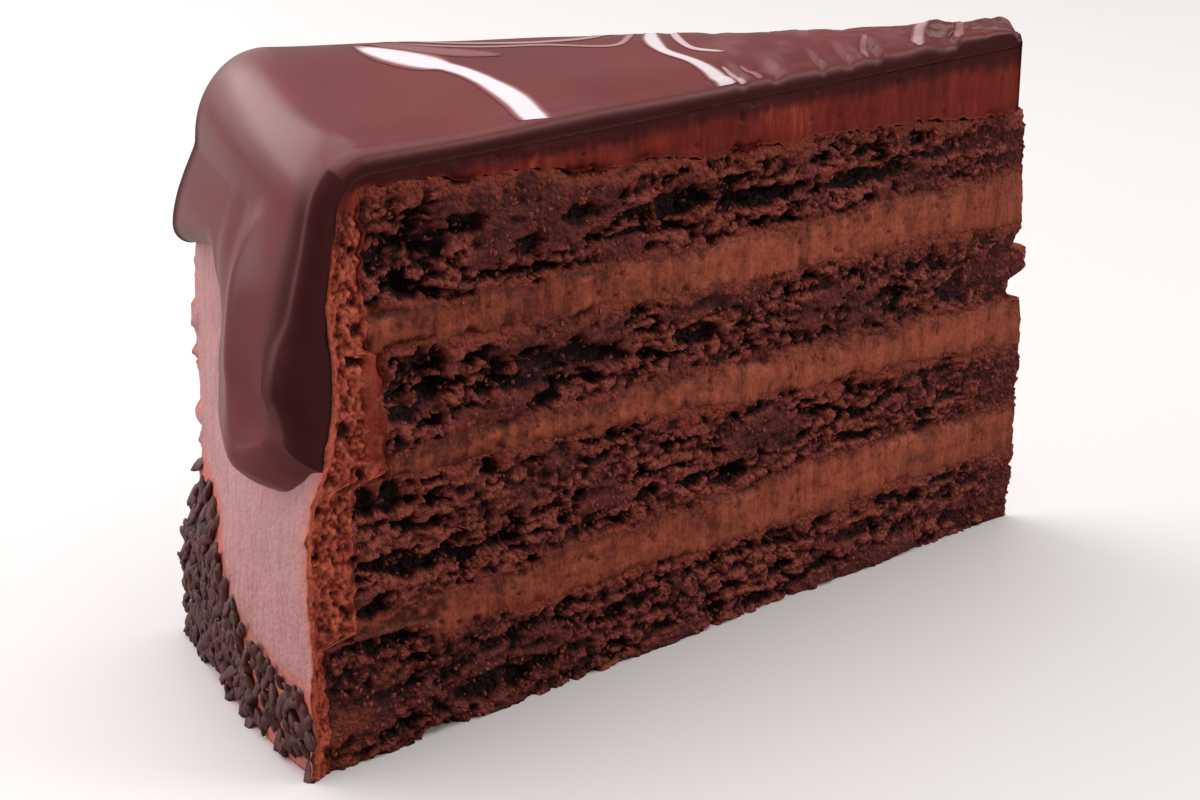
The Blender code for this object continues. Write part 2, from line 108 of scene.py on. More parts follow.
def cubic(xs: np.ndarray, ys: np.ndarray, x: np.ndarray) -> np.ndarray:
    """Smooth curve through points that never overshoots them.

    Args:
        xs: rising places of the points.
        ys: their values, or a row of values for each place with a column for each entry of x.
        x: places to read at.

    Returns:
        One value for each entry of x.
    """
    x = np.asarray(x, float)
    flat = x.ravel()
    rows = np.asarray(ys, float).reshape(len(xs), -1)
    steps = np.diff(xs)
    rise = np.diff(rows, axis=0) / steps[:, None]
    slope = np.vstack([rise[:1], np.zeros_like(rise[1:]), rise[-1:]])
    product = rise[:-1] * rise[1:]
    turn = product > 0
    total = np.where(turn, rise[:-1] + rise[1:], 1.0)
    slope[1:-1] = np.where(turn, 2 * product / total, 0.0)
    k = np.clip(np.searchsorted(xs, flat) - 1, 0, len(xs) - 2)
    column = np.arange(flat.size) if rows.shape[1] > 1 else np.zeros(flat.size, int)
    t = np.clip((flat - xs[k]) / steps[k], 0.0, 1.0)
    y0, y1 = rows[k, column], rows[k + 1, column]
    m0, m1 = slope[k, column] * steps[k], slope[k + 1, column] * steps[k]
    bend = (1 + 2 * t) * (1 - t) ** 2 * y0 + t * (1 - t) ** 2 * m0
    return (bend + t * t * (3 - 2 * t) * y1 + t * t * (t - 1) * m1).reshape(x.shape)


def along(table: Table, x: np.ndarray) -> np.ndarray:
    """Reads a table of (place, value) pairs as a smooth curve."""
    places, values = np.array(table, float).T
    return cubic(places, values, x)


def perlin(*axes: np.ndarray) -> np.ndarray:
    """Blender's own gradient noise, read point by point, as the solids read it.

    Args:
        axes: the three coordinates, which may be of different shapes.

    Returns:
        The noise.
    """
    x, y, z = np.broadcast_arrays(*axes)
    flat = zip(x.ravel().tolist(), y.ravel().tolist(), z.ravel().tolist())
    return np.fromiter((noise.noise(point) for point in flat), float, x.size).reshape(x.shape)


def blurred(values: np.ndarray, reach: int, passes: int = 3) -> np.ndarray:
    """Running mean of a grid over both its directions, taken several times.

    Args:
        values: the grid.
        reach: cells to either side that each mean takes in.
        passes: how many times it is taken.

    Returns:
        The smoothed grid.
    """
    out = values
    for _ in range(passes):
        for axis in (0, 1):
            margins = [(reach + 1, reach) if k == axis else (0, 0) for k in (0, 1)]
            grown = np.pad(out, margins, mode="edge")
            total = np.cumsum(grown, axis=axis)
            count = out.shape[axis]
            upper = np.take(total, range(2 * reach + 1, 2 * reach + 1 + count), axis=axis)
            lower = np.take(total, range(0, count), axis=axis)
            out = (upper - lower) / (2 * reach + 1)
    return out


@dataclass(frozen=True)
class Grain:
    """Seeded patterns over a plane, in whatever unit the caller divides by."""

    seed: int = 1

    def _draw(self, x: np.ndarray, y: np.ndarray, salt: int) -> np.ndarray:
        """A fixed random number for each whole-number cell.

        Args:
            x: first number of the cell.
            y: second number of the cell.
            salt: tells apart the numbers that one cell gives.

        Returns:
            Numbers from 0 to 1.
        """
        h = x.astype(np.int64) * 374761393 + y.astype(np.int64) * 668265263
        h = h + (self.seed * 101 + salt) * 1442695041
        h = (h ^ (h >> 13)) * 1274126177
        h = (h ^ (h >> 16)) * 2246822519
        return ((h ^ (h >> 15)) & 0xFFFFFF) / float(0xFFFFFF)

    def soft(self, x: np.ndarray, y: np.ndarray) -> np.ndarray:
        """Smooth noise from -1 to 1, about one swell for each unit.

        Args:
            x: first coordinate.
            y: second coordinate.

        Returns:
            The noise.
        """
        x, y = np.broadcast_arrays(x, y)
        cx, cy = np.floor(x), np.floor(y)
        fx, fy = smoothstep(0, 1, x - cx), smoothstep(0, 1, y - cy)
        corner = [[self._draw(cx + i, cy + j, 0) for j in (0, 1)] for i in (0, 1)]
        low = corner[0][0] + (corner[1][0] - corner[0][0]) * fx
        high = corner[0][1] + (corner[1][1] - corner[0][1]) * fx
        return 2 * (low + (high - low) * fy) - 1

    def rough(self, x: np.ndarray, y: np.ndarray, octaves: int = 3) -> np.ndarray:
        """Smooth noise with finer and fainter noise on top of it."""
        total = sum(self.soft(x * 2**k + 17 * k, y * 2**k - 9 * k) * 0.5**k for k in range(octaves))
        return total / sum(0.5**k for k in range(octaves))

    def cells(self, x: np.ndarray, y: np.ndarray) -> tuple[np.ndarray, np.ndarray, np.ndarray]:
        """Distances to scattered seeds, about one for each unit cell.

        Args:
            x: first coordinate.
            y: second coordinate.

        Returns:
            The distance to the nearest seed, the distance to the next, and the nearest's own number.
        """
        x, y = np.broadcast_arrays(x, y)
        cx, cy = np.floor(x), np.floor(y)
        first = np.full(x.shape, 9.0)
        second = np.full(x.shape, 9.0)
        number = np.zeros(x.shape)
        for i in (-1, 0, 1):
            for j in (-1, 0, 1):
                sx = cx + i + self._draw(cx + i, cy + j, 1)
                sy = cy + j + self._draw(cx + i, cy + j, 2)
                away = np.hypot(x - sx, y - sy)
                nearer = away < first
                second = np.where(nearer, first, np.minimum(second, away))
                number = np.where(nearer, self._draw(cx + i, cy + j, 3), number)
                first = np.where(nearer, away, first)
        return first, second, number


@dataclass(frozen=True)
class SliceShape:
    """The slice's own coordinates and the profiles that its solids were built from."""

    angle: float = math.radians(21.8)
    centre: tuple[float, float] = (67.9, 0.4)
    reach: float = 130.5
    core_lean: float = 2.4
    wave: float = 0.35
    wave_length: float = 9.0
    boundaries: tuple[Table, ...] = (
        ((0, 0.0), (130, 0.0)),
        ((0, 17.4), (14, 17.0), (22, 13.7), (60, 13.1), (130, 11.5)),
        ((0, 18.8), (14, 18.9), (22, 19.3), (70, 20.0), (130, 19.0)),
        ((0, 38.2), (30, 37.0), (50, 36.0), (70, 33.5), (90, 32.0), (130, 29.3)),
        ((0, 40.6), (50, 40.0), (90, 38.5), (130, 36.4)),
        ((0, 55.2), (30, 54.0), (50, 52.3), (90, 51.0), (130, 48.8)),
        ((0, 60.0), (20, 59.2), (50, 58.0), (90, 57.0), (130, 56.8)),
        ((0, 75.9), (8, 75.6), (30, 73.6), (50, 71.5), (70, 70.0), (90, 69.2), (130, 65.8)),
    )
    coat_top: Table = ((0, 77.2), (130, 76.4))
    tip: Table = (
        (0, 1.6), (9, 1.1), (33, 1.0), (35.6, 1.5), (38.2, 4.4), (40.2, 4.0), (42.2, 1.0),
        (43.6, 1.0), (45.8, 4.0), (48.6, 2.2), (60, 3.0), (68, 3.4), (76, 4.6), (84, 6.0),
    )
    rim_near: Table = (
        (0, 132.2), (30, 132.1), (35, 131.6), (38, 130.6), (42, 128.9), (46, 127.9), (51, 127.3),
        (56, 127.4), (62, 127.8), (66, 127.2), (72, 126.1), (90, 124.8),
    )
    rim_far: Table = (
        (0, 130.5), (14, 130.1), (18, 129.6), (24, 128.5), (30, 127.9), (50, 127.7), (57, 127.1),
        (61, 126.8), (64, 126.4), (66, 125.8), (69, 124.5), (72, 123.3), (90, 121.5),
    )
    corners: tuple[float, float] = (5.0, 6.5)

    @property
    def width(self) -> float:
        """Length of the rim's arc."""
        return self.reach * self.angle

    def place(
        self, radius: np.ndarray, across: np.ndarray, height: np.ndarray, inward: np.ndarray | float = 0.0
    ) -> np.ndarray:
        """World points in metres.

        Args:
            radius: distance from the place where the cuts would meet.
            across: 0 at the near cut to 1 at the far one.
            height: above the board.
            inward: how far a point of either cut lies behind its plane.

        Returns:
            An array with the points along its last axis.
        """
        radius, across, height, inward = np.broadcast_arrays(radius, across, height, inward)
        turn = (across - 0.5) * self.angle
        side = np.where(across < 0.5, 1.0, -1.0)
        x = self.centre[0] - radius * np.cos(turn) - inward * math.sin(self.angle / 2)
        y = self.centre[1] + radius * np.sin(turn) + side * inward * math.cos(self.angle / 2)
        return np.stack([x, y, height], axis=-1) * MM

    def leaned(self, radius: np.ndarray, across: np.ndarray) -> np.ndarray:
        """A radius of the near cut, brought in towards the far one."""
        return radius * (1 - self.core_lean * across / self.reach)

    def boundary(self, index: int, inset: np.ndarray, across: np.ndarray) -> np.ndarray:
        """Height of the boundary under layer index, at a distance in from the rim corner.

        Args:
            index: counted from the board, where it is 0.
            inset: distance in from the rim corner.
            across: 0 at the near cut to 1 at the far one.

        Returns:
            Heights above the board.
        """
        inset, across = np.broadcast_arrays(inset, across)
        height = along(self.boundaries[index], inset)
        if index in (0, len(self.boundaries) - 1):
            return height
        near = perlin(inset / self.wave_length, index * 7.3, 0.0)
        far = perlin(inset / self.wave_length, index * 7.3, 2.1)
        return height + self.wave * (near + (far - near) * across) * smoothstep(6, 16, inset)

    def torn_boundary(self, index: int, inset: np.ndarray, across: np.ndarray) -> np.ndarray:
        """The boundary with the small raggedness that the knife leaves.

        Args:
            index: counted from the board, where it is 0.
            inset: distance in from the rim corner.
            across: 0 at the near cut to 1 at the far one.

        Returns:
            Heights above the board.
        """
        height = self.boundary(index, inset, across)
        if index == 0:
            return height
        near, far = Grain(200 + index), Grain(300 + index)
        ragged = 0.0
        for share, grain in ((1 - across, near), (across, far)):
            broad = 0.8 * grain.rough(inset / 8.0, inset * 0 + 9) + 0.75 * grain.rough(inset / 2.6, inset * 0)
            ragged = ragged + share * (broad + 0.5 * grain.rough(inset / 0.9, inset * 0 + 5))
        return height + ragged * (0.35 + 0.65 * smoothstep(8, 22, inset))

    def rim(self, height: np.ndarray, across: np.ndarray) -> np.ndarray:
        """Radius of the coat's outside on the rim."""
        near = along(self.rim_near, height)
        return near + (along(self.rim_far, height) - near) * smoothstep(0, 1, across)

    def outline(self, place_on: np.ndarray, across: np.ndarray, foot: np.ndarray | float = 0.0) -> np.ndarray:
        """Points (radius, height) on the outside of the coat.

        Args:
            place_on: 0 at the tip, 1 where the rounded edge begins, 2 where it ends, 3 at foot.
            across: 0 at the near cut to 1 at the far one.
            foot: height at which the outline ends on the rim.

        Returns:
            An array with radius and height along its last axis.
        """
        place_on, across, foot = np.broadcast_arrays(place_on, across, foot)
        corner = self.corners[0] + (self.corners[1] - self.corners[0]) * smoothstep(0, 1, across)
        edge_top = along(self.coat_top, corner)
        start = self.rim(edge_top - corner, across) - corner
        tip = along(self.tip, edge_top)
        radius = tip + (start - tip) * np.clip(place_on, 0, 1)
        height = along(self.coat_top, self.reach - radius)
        turn = (np.clip(place_on, 1, 2) - 1) * math.pi / 2
        radius = radius + corner * np.sin(turn)
        height = height - corner * (1 - np.cos(turn))
        down = edge_top - corner - (np.clip(place_on, 2, 3) - 2) * (edge_top - corner - foot)
        on_rim = place_on > 2
        radius = np.where(on_rim, self.rim(down, across), radius)
        return np.stack([radius, np.where(on_rim, down, height)], axis=-1)

    def offset(
        self, place_on: np.ndarray, distance: np.ndarray, across: np.ndarray, foot: np.ndarray
    ) -> np.ndarray:
        """Points that stand off the coat's outside by a distance.

        Args:
            place_on: as in outline.
            distance: how far outwards.
            across: 0 at the near cut to 1 at the far one.
            foot: height at which the outline ends on the rim.

        Returns:
            An array with radius and height along its last axis.
        """
        step = 0.004
        before = self.outline(np.maximum(0.0, place_on - step), across, foot)
        after = self.outline(np.minimum(3.0, place_on + step), across, foot)
        run = after - before
        run /= np.linalg.norm(run, axis=-1, keepdims=True)
        square = np.stack([-run[..., 1], run[..., 0]], axis=-1)
        return self.outline(place_on, across, foot) + square * np.asarray(distance)[..., None]


SHAPE = SliceShape()


def quads_of(numbers: np.ndarray) -> np.ndarray:
    """The four corners of every cell of a grid of vertex numbers."""
    return np.stack([numbers[:-1, :-1], numbers[1:, :-1], numbers[1:, 1:], numbers[:-1, 1:]], axis=-1)


def write_zone(mesh: bpy.types.Mesh, zone: Zone, values: np.ndarray) -> None:
    """Writes one value for each vertex of a mesh."""
    layer = mesh.attributes.new(zone.value, "FLOAT", "POINT")
    layer.data.foreach_set("value", np.ascontiguousarray(values, np.float32).ravel())


def linked(name: str, data: bpy.types.ID) -> bpy.types.Object:
    """A new object in the scene.

    Args:
        name: the object's name.
        data: its mesh, light or camera.

    Returns:
        The object.
    """
    obj = bpy.data.objects.new(name, data)
    bpy.context.scene.collection.objects.link(obj)
    return obj


@dataclass
class Piece:
    """A mesh of the dressed model and what it stands for."""

    name: str
    slot: str
    replaces: tuple[str, ...] = ()

    def add(self, mesh: bpy.types.Mesh, material: bpy.types.Material | None = None) -> bpy.types.Object:
        """Puts a finished mesh into the scene and ties it to the frame.

        Args:
            mesh: the mesh, in metres in the frame's own coordinates.
            material: its finish, where the mesh doesn't carry it yet.

        Returns:
            The new object.
        """
        if material is not None:
            mesh.materials.clear()
            mesh.materials.append(material)
        obj = linked(self.name, mesh)
        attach(obj, ROOT)
        if self.replaces:
            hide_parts(*self.replaces)
        triangles = sum(len(face.vertices) - 2 for face in mesh.polygons)
        log.info("%s: %d triangles", self.name, triangles)
        return obj


@dataclass
class Lattice:
    """A closed block of points [a, b, c, xyz] whose six sides become one mesh."""

    points: np.ndarray
    attributes: dict[Zone, np.ndarray] = field(default_factory=dict)
    flat_map: tuple[np.ndarray, np.ndarray] | None = None

    def _numbers(self) -> tuple[np.ndarray, np.ndarray]:
        """Numbers the points that the mesh needs.

        Returns:
            Vertex numbers of the block's points, -1 inside it, and the mask of its outside.
        """
        outside = np.ones(self.points.shape[:3], bool)
        outside[1:-1, 1:-1, 1:-1] = False
        numbers = np.full(outside.shape, -1)
        numbers[outside] = np.arange(outside.sum())
        return numbers, outside

    def mesh(self, name: str) -> bpy.types.Mesh:
        """Builds the mesh, with its faces outwards.

        Args:
            name: name of the mesh.

        Returns:
            The mesh with its attributes and, where it has one, its map named cut.
        """
        numbers, outside = self._numbers()
        sheets = [numbers[0], numbers[-1], numbers[:, 0], numbers[:, -1], numbers[:, :, 0], numbers[:, :, -1]]
        faces = []
        for k, sheet in enumerate(sheets):
            quads = quads_of(sheet).reshape(-1, 4)
            flip = k in (0, 3, 4)
            faces.append(quads[:, ::-1] if flip else quads)
        vertices = self.points[outside]
        quads = np.concatenate(faces)
        corner = vertices[quads]
        sweep = np.cross(corner[:, 2] - corner[:, 0], corner[:, 3] - corner[:, 1])
        if np.einsum("ij,ij->", sweep, corner.mean(axis=1) - vertices.mean(axis=0)) < 0:
            quads = quads[:, ::-1]
        mesh = bpy.data.meshes.new(name)
        mesh.from_pydata(vertices.tolist(), [], quads.tolist())
        for zone, values in self.attributes.items():
            write_zone(mesh, zone, values[outside])
        if self.flat_map is not None:
            flat = np.stack([values[outside] for values in self.flat_map], axis=-1) * MM
            layer = mesh.uv_layers.new(name="cut")
            layer.data.foreach_set("uv", flat[quads.ravel()].ravel().astype(np.float32))
        mesh.shade_smooth()
        return mesh


@dataclass(frozen=True)
class NodeSketch:
    """Short calls for building a shader or group tree."""

    tree: bpy.types.NodeTree

    def node(self, kind: str, inputs: dict | None = None, **settings: object) -> bpy.types.Node:
        """Adds a node.

        Args:
            kind: the node's type name.
            inputs: socket name or number to a value, or to the output socket that feeds it.
            settings: properties of the node itself.

        Returns:
            The node.
        """
        made = self.tree.nodes.new(kind)
        for key, value in settings.items():
            setattr(made, key, value)
        for key, value in (inputs or {}).items():
            if isinstance(value, bpy.types.NodeSocket):
                self.tree.links.new(value, made.inputs[key])
            else:
                made.inputs[key].default_value = value
        return made

    def add(self, first: object, second: object) -> bpy.types.NodeSocket:
        """Sum of two values."""
        return self.node("ShaderNodeMath", {0: first, 1: second}, operation="ADD").outputs[0]

    def less(self, first: object, second: object) -> bpy.types.NodeSocket:
        """The first value less the second."""
        return self.node("ShaderNodeMath", {0: first, 1: second}, operation="SUBTRACT").outputs[0]

    def times(self, first: object, second: object) -> bpy.types.NodeSocket:
        """Product of two values."""
        return self.node("ShaderNodeMath", {0: first, 1: second}, operation="MULTIPLY").outputs[0]

    def ramp(self, value: object, stops: tuple[tuple[float, object], ...]) -> bpy.types.NodeSocket:
        """Output of a Color Ramp, whose stops hold colours or grey levels.

        Args:
            value: what it reads.
            stops: places with a colour or a grey level each.

        Returns:
            The output socket.
        """
        made = self.node("ShaderNodeValToRGB", {0: value})
        elements = made.color_ramp.elements
        while len(elements) < len(stops):
            elements.new(0.5)
        for element, (position, shade) in zip(elements, stops):
            element.position = position
            element.color = (shade, shade, shade, 1) if isinstance(shade, float) else (*shade, 1)
        return made.outputs[0]

    def mix(self, factor: object, first: object, second: object) -> bpy.types.NodeSocket:
        """Output of a colour Mix node.

        Args:
            factor: 0 for the first colour, 1 for the second.
            first: a colour, a value or a socket.
            second: likewise.

        Returns:
            The output socket.
        """
        made = self.node("ShaderNodeMix", data_type="RGBA")
        for socket, value in ((made.inputs[0], factor), (made.inputs[6], first), (made.inputs[7], second)):
            if isinstance(value, bpy.types.NodeSocket):
                self.tree.links.new(value, socket)
            elif isinstance(value, tuple):
                socket.default_value = (*value, 1)
            else:
                socket.default_value = value
        return made.outputs[2]

    def place(self) -> bpy.types.NodeSocket:
        """The place on the object, in metres."""
        return self.node("ShaderNodeTexCoord").outputs["Object"]

    def attribute(self, zone: Zone) -> bpy.types.NodeSocket:
        """Value of one of the shape's own attributes."""
        return self.node("ShaderNodeAttribute", attribute_name=zone.value).outputs["Fac"]

    def noise(
        self, vector: object, scale: float, detail: float = 3.0, rough: float = 0.55
    ) -> bpy.types.NodeSocket:
        """Value of a Noise Texture, where scale is swells for each metre."""
        inputs = {"Vector": vector, "Scale": scale, "Detail": detail, "Roughness": rough}
        return self.node("ShaderNodeTexNoise", inputs).outputs[0]


class Effects:
    """Shader node groups that several finishes share."""

    def __init__(self) -> None:
        """Builds each group once."""
        self.crumb = self._crumb()
        self.smear = self._smear()

    @staticmethod
    def laid(
        sketch: NodeSketch, group: bpy.types.NodeTree, where: bpy.types.NodeSocket
    ) -> bpy.types.Node:
        """A group used in a finish, read at a place.

        Args:
            sketch: the finish's tree.
            group: one of the groups here.
            where: the place.

        Returns:
            The node, with the group's outputs.
        """
        used = sketch.node("ShaderNodeGroup", node_tree=group)
        sketch.tree.links.new(where, used.inputs["Vector"])
        return used

    @staticmethod
    def _group(
        name: str, inputs: dict[str, float], outputs: tuple[str, ...]
    ) -> tuple[NodeSketch, bpy.types.Node, bpy.types.Node]:
        """Starts a group.

        Args:
            name: the group's name.
            inputs: float inputs with their defaults; a Vector input is added first.
            outputs: names of the float outputs.

        Returns:
            The sketch, the group's input node and its output node.
        """
        tree = bpy.data.node_groups.new(name, "ShaderNodeTree")
        tree.interface.new_socket("Vector", in_out="INPUT", socket_type="NodeSocketVector")
        for key, value in inputs.items():
            socket = tree.interface.new_socket(key, in_out="INPUT", socket_type="NodeSocketFloat")
            socket.default_value = value
        for key in outputs:
            tree.interface.new_socket(key, in_out="OUTPUT", socket_type="NodeSocketFloat")
        sketch = NodeSketch(tree)
        return sketch, sketch.node("NodeGroupInput"), sketch.node("NodeGroupOutput")

    def _crumb(self) -> bpy.types.NodeTree:
        """Fine crumb: a height for bump and a value for colour.

        Returns:
            The group.
        """
        sketch, start, end = self._group("fine_crumb", {"Scale": 1.0}, ("Height", "Tone"))
        grown = sketch.node("ShaderNodeVectorMath", {0: start.outputs["Vector"]}, operation="SCALE")
        sketch.tree.links.new(start.outputs["Scale"], grown.inputs["Scale"])
        cells = {"Vector": grown.outputs[0], "Scale": 1500.0}
        bead = sketch.node("ShaderNodeTexVoronoi", cells).outputs["Distance"]
        grit = sketch.noise(grown.outputs[0], 2600.0, 2.0)
        broad = sketch.noise(grown.outputs[0], 420.0, 4.0, 0.6)
        lumps = {"Vector": grown.outputs[0], "Scale": 780.0}
        lump = sketch.node("ShaderNodeTexVoronoi", lumps).outputs["Distance"]
        height = sketch.less(grit, sketch.times(bead, 0.9))
        height = sketch.less(height, sketch.times(lump, 1.1))
        height = sketch.add(height, sketch.times(broad, 1.2))
        tone = sketch.add(sketch.times(broad, 0.85), sketch.times(grit, 0.45))
        tone = sketch.add(tone, 0.08)
        tone = sketch.less(tone, sketch.times(bead, 0.32))
        sketch.tree.links.new(height, end.inputs["Height"])
        sketch.tree.links.new(tone, end.inputs["Tone"])
        return sketch.tree

    def _smear(self) -> bpy.types.NodeTree:
        """Upright knife streaks over the cut map: a height for bump and a value for colour.

        Returns:
            The group.
        """
        sketch, start, end = self._group("knife_smear", {"Stretch": 7.0}, ("Height", "Tone"))
        flat = sketch.node("ShaderNodeSeparateXYZ", {0: start.outputs["Vector"]})
        stretch = {0: flat.outputs[1], 1: start.outputs["Stretch"]}
        short = sketch.node("ShaderNodeMath", stretch, operation="DIVIDE").outputs[0]
        drawn = sketch.node("ShaderNodeCombineXYZ", {0: flat.outputs[0], 1: short}).outputs[0]
        fine = sketch.noise(drawn, 2400.0, 3.0, 0.6)
        broad = sketch.noise(drawn, 420.0, 3.0, 0.55)
        height = sketch.add(sketch.times(fine, 0.5), broad)
        tone = sketch.add(sketch.times(fine, 0.4), sketch.times(broad, 0.6))
        sketch.tree.links.new(height, end.inputs["Height"])
        sketch.tree.links.new(tone, end.inputs["Tone"])
        return sketch.tree


@dataclass(frozen=True)
class Finish:
    """What every finish shares: its name, and the shader that closes it."""

    name: str
    roughness: float = 0.6
    specular: float = 0.4
    bump: float = 0.5
    bump_depth: float = 0.0004

    def begin(self) -> tuple[bpy.types.Material, NodeSketch, bpy.types.Node]:
        """Starts a material with a Principled shader whose constants are set.

        Returns:
            The material, its sketch and the shader.
        """
        made = bpy.data.materials.new(self.name)
        made.use_nodes = True
        shader = made.node_tree.nodes["Principled BSDF"]
        shader.inputs["Roughness"].default_value = self.roughness
        shader.inputs["Specular IOR Level"].default_value = self.specular
        return made, NodeSketch(made.node_tree), shader

    def relief(self, sketch: NodeSketch, shader: bpy.types.Node, height: bpy.types.NodeSocket) -> None:
        """Feeds a height to the shader's normal.

        Args:
            sketch: the material's tree.
            shader: the Principled shader.
            height: what rises.
        """
        inputs = {"Strength": self.bump, "Distance": self.bump_depth, "Height": height}
        made = sketch.node("ShaderNodeBump", inputs)
        sketch.tree.links.new(made.outputs[0], shader.inputs["Normal"])


@dataclass(frozen=True)
class SpongeFinish(Finish):
    """Dark torn sponge, with painted shade that blackens its hollows and painted light on its proud crumbs,
    and browner where filling is smeared over it.
    """

    hole: Colour = (0.018, 0.0062, 0.0058)
    dark: Colour = (0.044, 0.0086, 0.0074)
    middle: Colour = (0.146, 0.0255, 0.0205)
    light: Colour = (0.400, 0.092, 0.062)
    flat: Colour = (0.118, 0.0265, 0.0235)
    smeared: Colour = (0.300, 0.058, 0.032)

    def build(self, effects: Effects) -> bpy.types.Material:
        """The material.

        Args:
            effects: the shared groups.

        Returns:
            The finished material.
        """
        made, sketch, shader = self.begin()
        where = sketch.place()
        crumb = effects.laid(sketch, effects.crumb, where)
        # Painted shade and light: hollows darken towards black, proud crumbs lighten.
        pit_shade = sketch.attribute(Zone.PIT_SHADE)
        tone = sketch.times(crumb.outputs["Tone"], 0.6)
        level = sketch.less(sketch.add(tone, 0.48), pit_shade)
        torn = sketch.ramp(
            level, ((0.0, self.hole), (0.22, self.dark), (0.5, self.middle), (0.85, self.light))
        )
        flat_tone = sketch.ramp(level, ((0.0, self.hole), (0.45, self.flat), (0.8, self.middle)))
        colour = sketch.mix(sketch.times(sketch.attribute(Zone.WORN), 0.8), torn, flat_tone)
        shown = sketch.times(sketch.attribute(Zone.SMEAR), sketch.ramp(pit_shade, ((0.45, 0.85), (0.85, 0.1))))
        colour = sketch.mix(shown, colour, self.smeared)
        sketch.tree.links.new(colour, shader.inputs["Base Color"])
        self.relief(sketch, shader, crumb.outputs["Height"])
        return made


@dataclass(frozen=True)
class CreamFinish(Finish):
    """Chocolate cream: streaked by the knife, with sponge crumbs dragged into it."""

    dark: Colour = (0.140, 0.024, 0.013)
    light: Colour = (0.480, 0.110, 0.058)
    crumbs: Colour = (0.070, 0.016, 0.012)

    def build(self, effects: Effects) -> bpy.types.Material:
        """The material.

        Args:
            effects: the shared groups.

        Returns:
            The finished material.
        """
        made, sketch, shader = self.begin()
        flat = sketch.node("ShaderNodeUVMap", uv_map="cut").outputs[0]
        smear = effects.laid(sketch, effects.smear, flat)
        where = sketch.place()
        crumb = effects.laid(sketch, effects.crumb, where)
        tone = sketch.add(sketch.times(smear.outputs["Tone"], 0.7),
                           sketch.times(crumb.outputs["Tone"], 0.3))
        # Painted shade: hollows and the rim side darken the cream.
        hollow = sketch.less(sketch.attribute(Zone.PIT_SHADE), 0.35)
        tone = sketch.less(tone, sketch.times(hollow, 0.6))
        colour = sketch.ramp(tone, ((0.33, self.dark), (0.63, self.light)))
        grit = sketch.ramp(crumb.outputs["Tone"], ((0.35, 0.9), (0.62, 0.35)))
        colour = sketch.mix(sketch.times(sketch.attribute(Zone.SMEAR), grit), colour, self.crumbs)
        sketch.tree.links.new(colour, shader.inputs["Base Color"])
        height = sketch.add(smear.outputs["Height"], sketch.times(crumb.outputs["Height"], 0.5))
        self.relief(sketch, shader, height)
        return made


@dataclass(frozen=True)
class FrostingFinish(Finish):
    """The coat: porous and orange where it is torn, with painted shade in its hollows; darker under the
    glaze, with a band of dragged glaze in painted shade just below it; smooth and pale on the rim, where the
    pale pink is partly its own colour and partly painted sheen.
    """

    torn: Colour = (0.24, 0.032, 0.019)
    torn_light: Colour = (0.72, 0.165, 0.090)
    inner: Colour = (0.115, 0.0115, 0.0090)
    inner_light: Colour = (0.27, 0.031, 0.020)
    streak: Colour = (0.46, 0.085, 0.040)
    # Painted shade: glaze dragged down over the cut coat, as dark as the glaze's shaded cut side.
    dragged: Colour = (0.055, 0.0080, 0.0082)
    # The rim's pale pink: partly the frosting's own colour, partly painted sheen.
    spread: Colour = (0.60, 0.305, 0.300)
    # Painted shade in the torn coat's hollows.
    pit_shade: Colour = (0.045, 0.008, 0.006)

    def build(self, effects: Effects) -> bpy.types.Material:
        """The material.

        Args:
            effects: the shared groups.

        Returns:
            The finished material.
        """
        made, sketch, shader = self.begin()
        flat = sketch.node("ShaderNodeUVMap", uv_map="cut").outputs[0]
        smear = effects.laid(sketch, effects.smear, flat)
        where = sketch.place()
        crumb = effects.laid(sketch, effects.crumb, where)
        hollow = sketch.attribute(Zone.PIT_SHADE)
        # Painted shade: hollows darken the torn coat towards its darkest colour.
        bright = sketch.less(sketch.add(crumb.outputs["Tone"], 0.3), hollow)
        torn = sketch.ramp(bright, ((0.05, self.pit_shade), (0.4, self.torn), (0.85, self.torn_light)))
        swell = sketch.times(sketch.noise(flat, 70.0, 2.0), 0.5)
        drawn_down = sketch.add(smear.outputs["Tone"], swell)
        inner = sketch.ramp(drawn_down, ((0.55, self.inner), (0.85, self.inner_light), (1.0, self.streak)))
        colour = sketch.mix(sketch.attribute(Zone.POROUS), inner, torn)
        # Painted shade where glaze is dragged over the cut.
        colour = sketch.mix(sketch.attribute(Zone.CUT), colour, self.dragged)
        drawn = sketch.node("ShaderNodeMapping", {"Vector": where, "Scale": (1.0, 1.0, 0.14)}).outputs[0]
        scratch = sketch.add(sketch.times(sketch.noise(drawn, 1500.0, 3.0, 0.6), 0.55),
                              sketch.times(sketch.noise(drawn, 260.0, 3.0, 0.6), 0.45))
        # Partly painted sheen: the rim is paled towards pink, with knife scratches.
        faint = tuple(share * part for share, part in zip((0.84, 0.72, 0.72), self.spread))
        spread = sketch.ramp(scratch, ((0.38, faint), (0.54, self.spread)))
        colour = sketch.mix(sketch.attribute(Zone.RIM), colour, spread)
        sketch.tree.links.new(colour, shader.inputs["Base Color"])
        torn_height = sketch.times(crumb.outputs["Height"], sketch.attribute(Zone.POROUS))
        height = sketch.add(sketch.times(smear.outputs["Height"], 0.6), torn_height)
        height = sketch.add(height, sketch.times(scratch, 0.2))
        self.relief(sketch, shader, height)
        shine = sketch.add(sketch.times(sketch.attribute(Zone.RIM), 0.7 * self.specular),
                            0.3 * self.specular)
        sketch.tree.links.new(shine, shader.inputs["Specular IOR Level"])
        return made


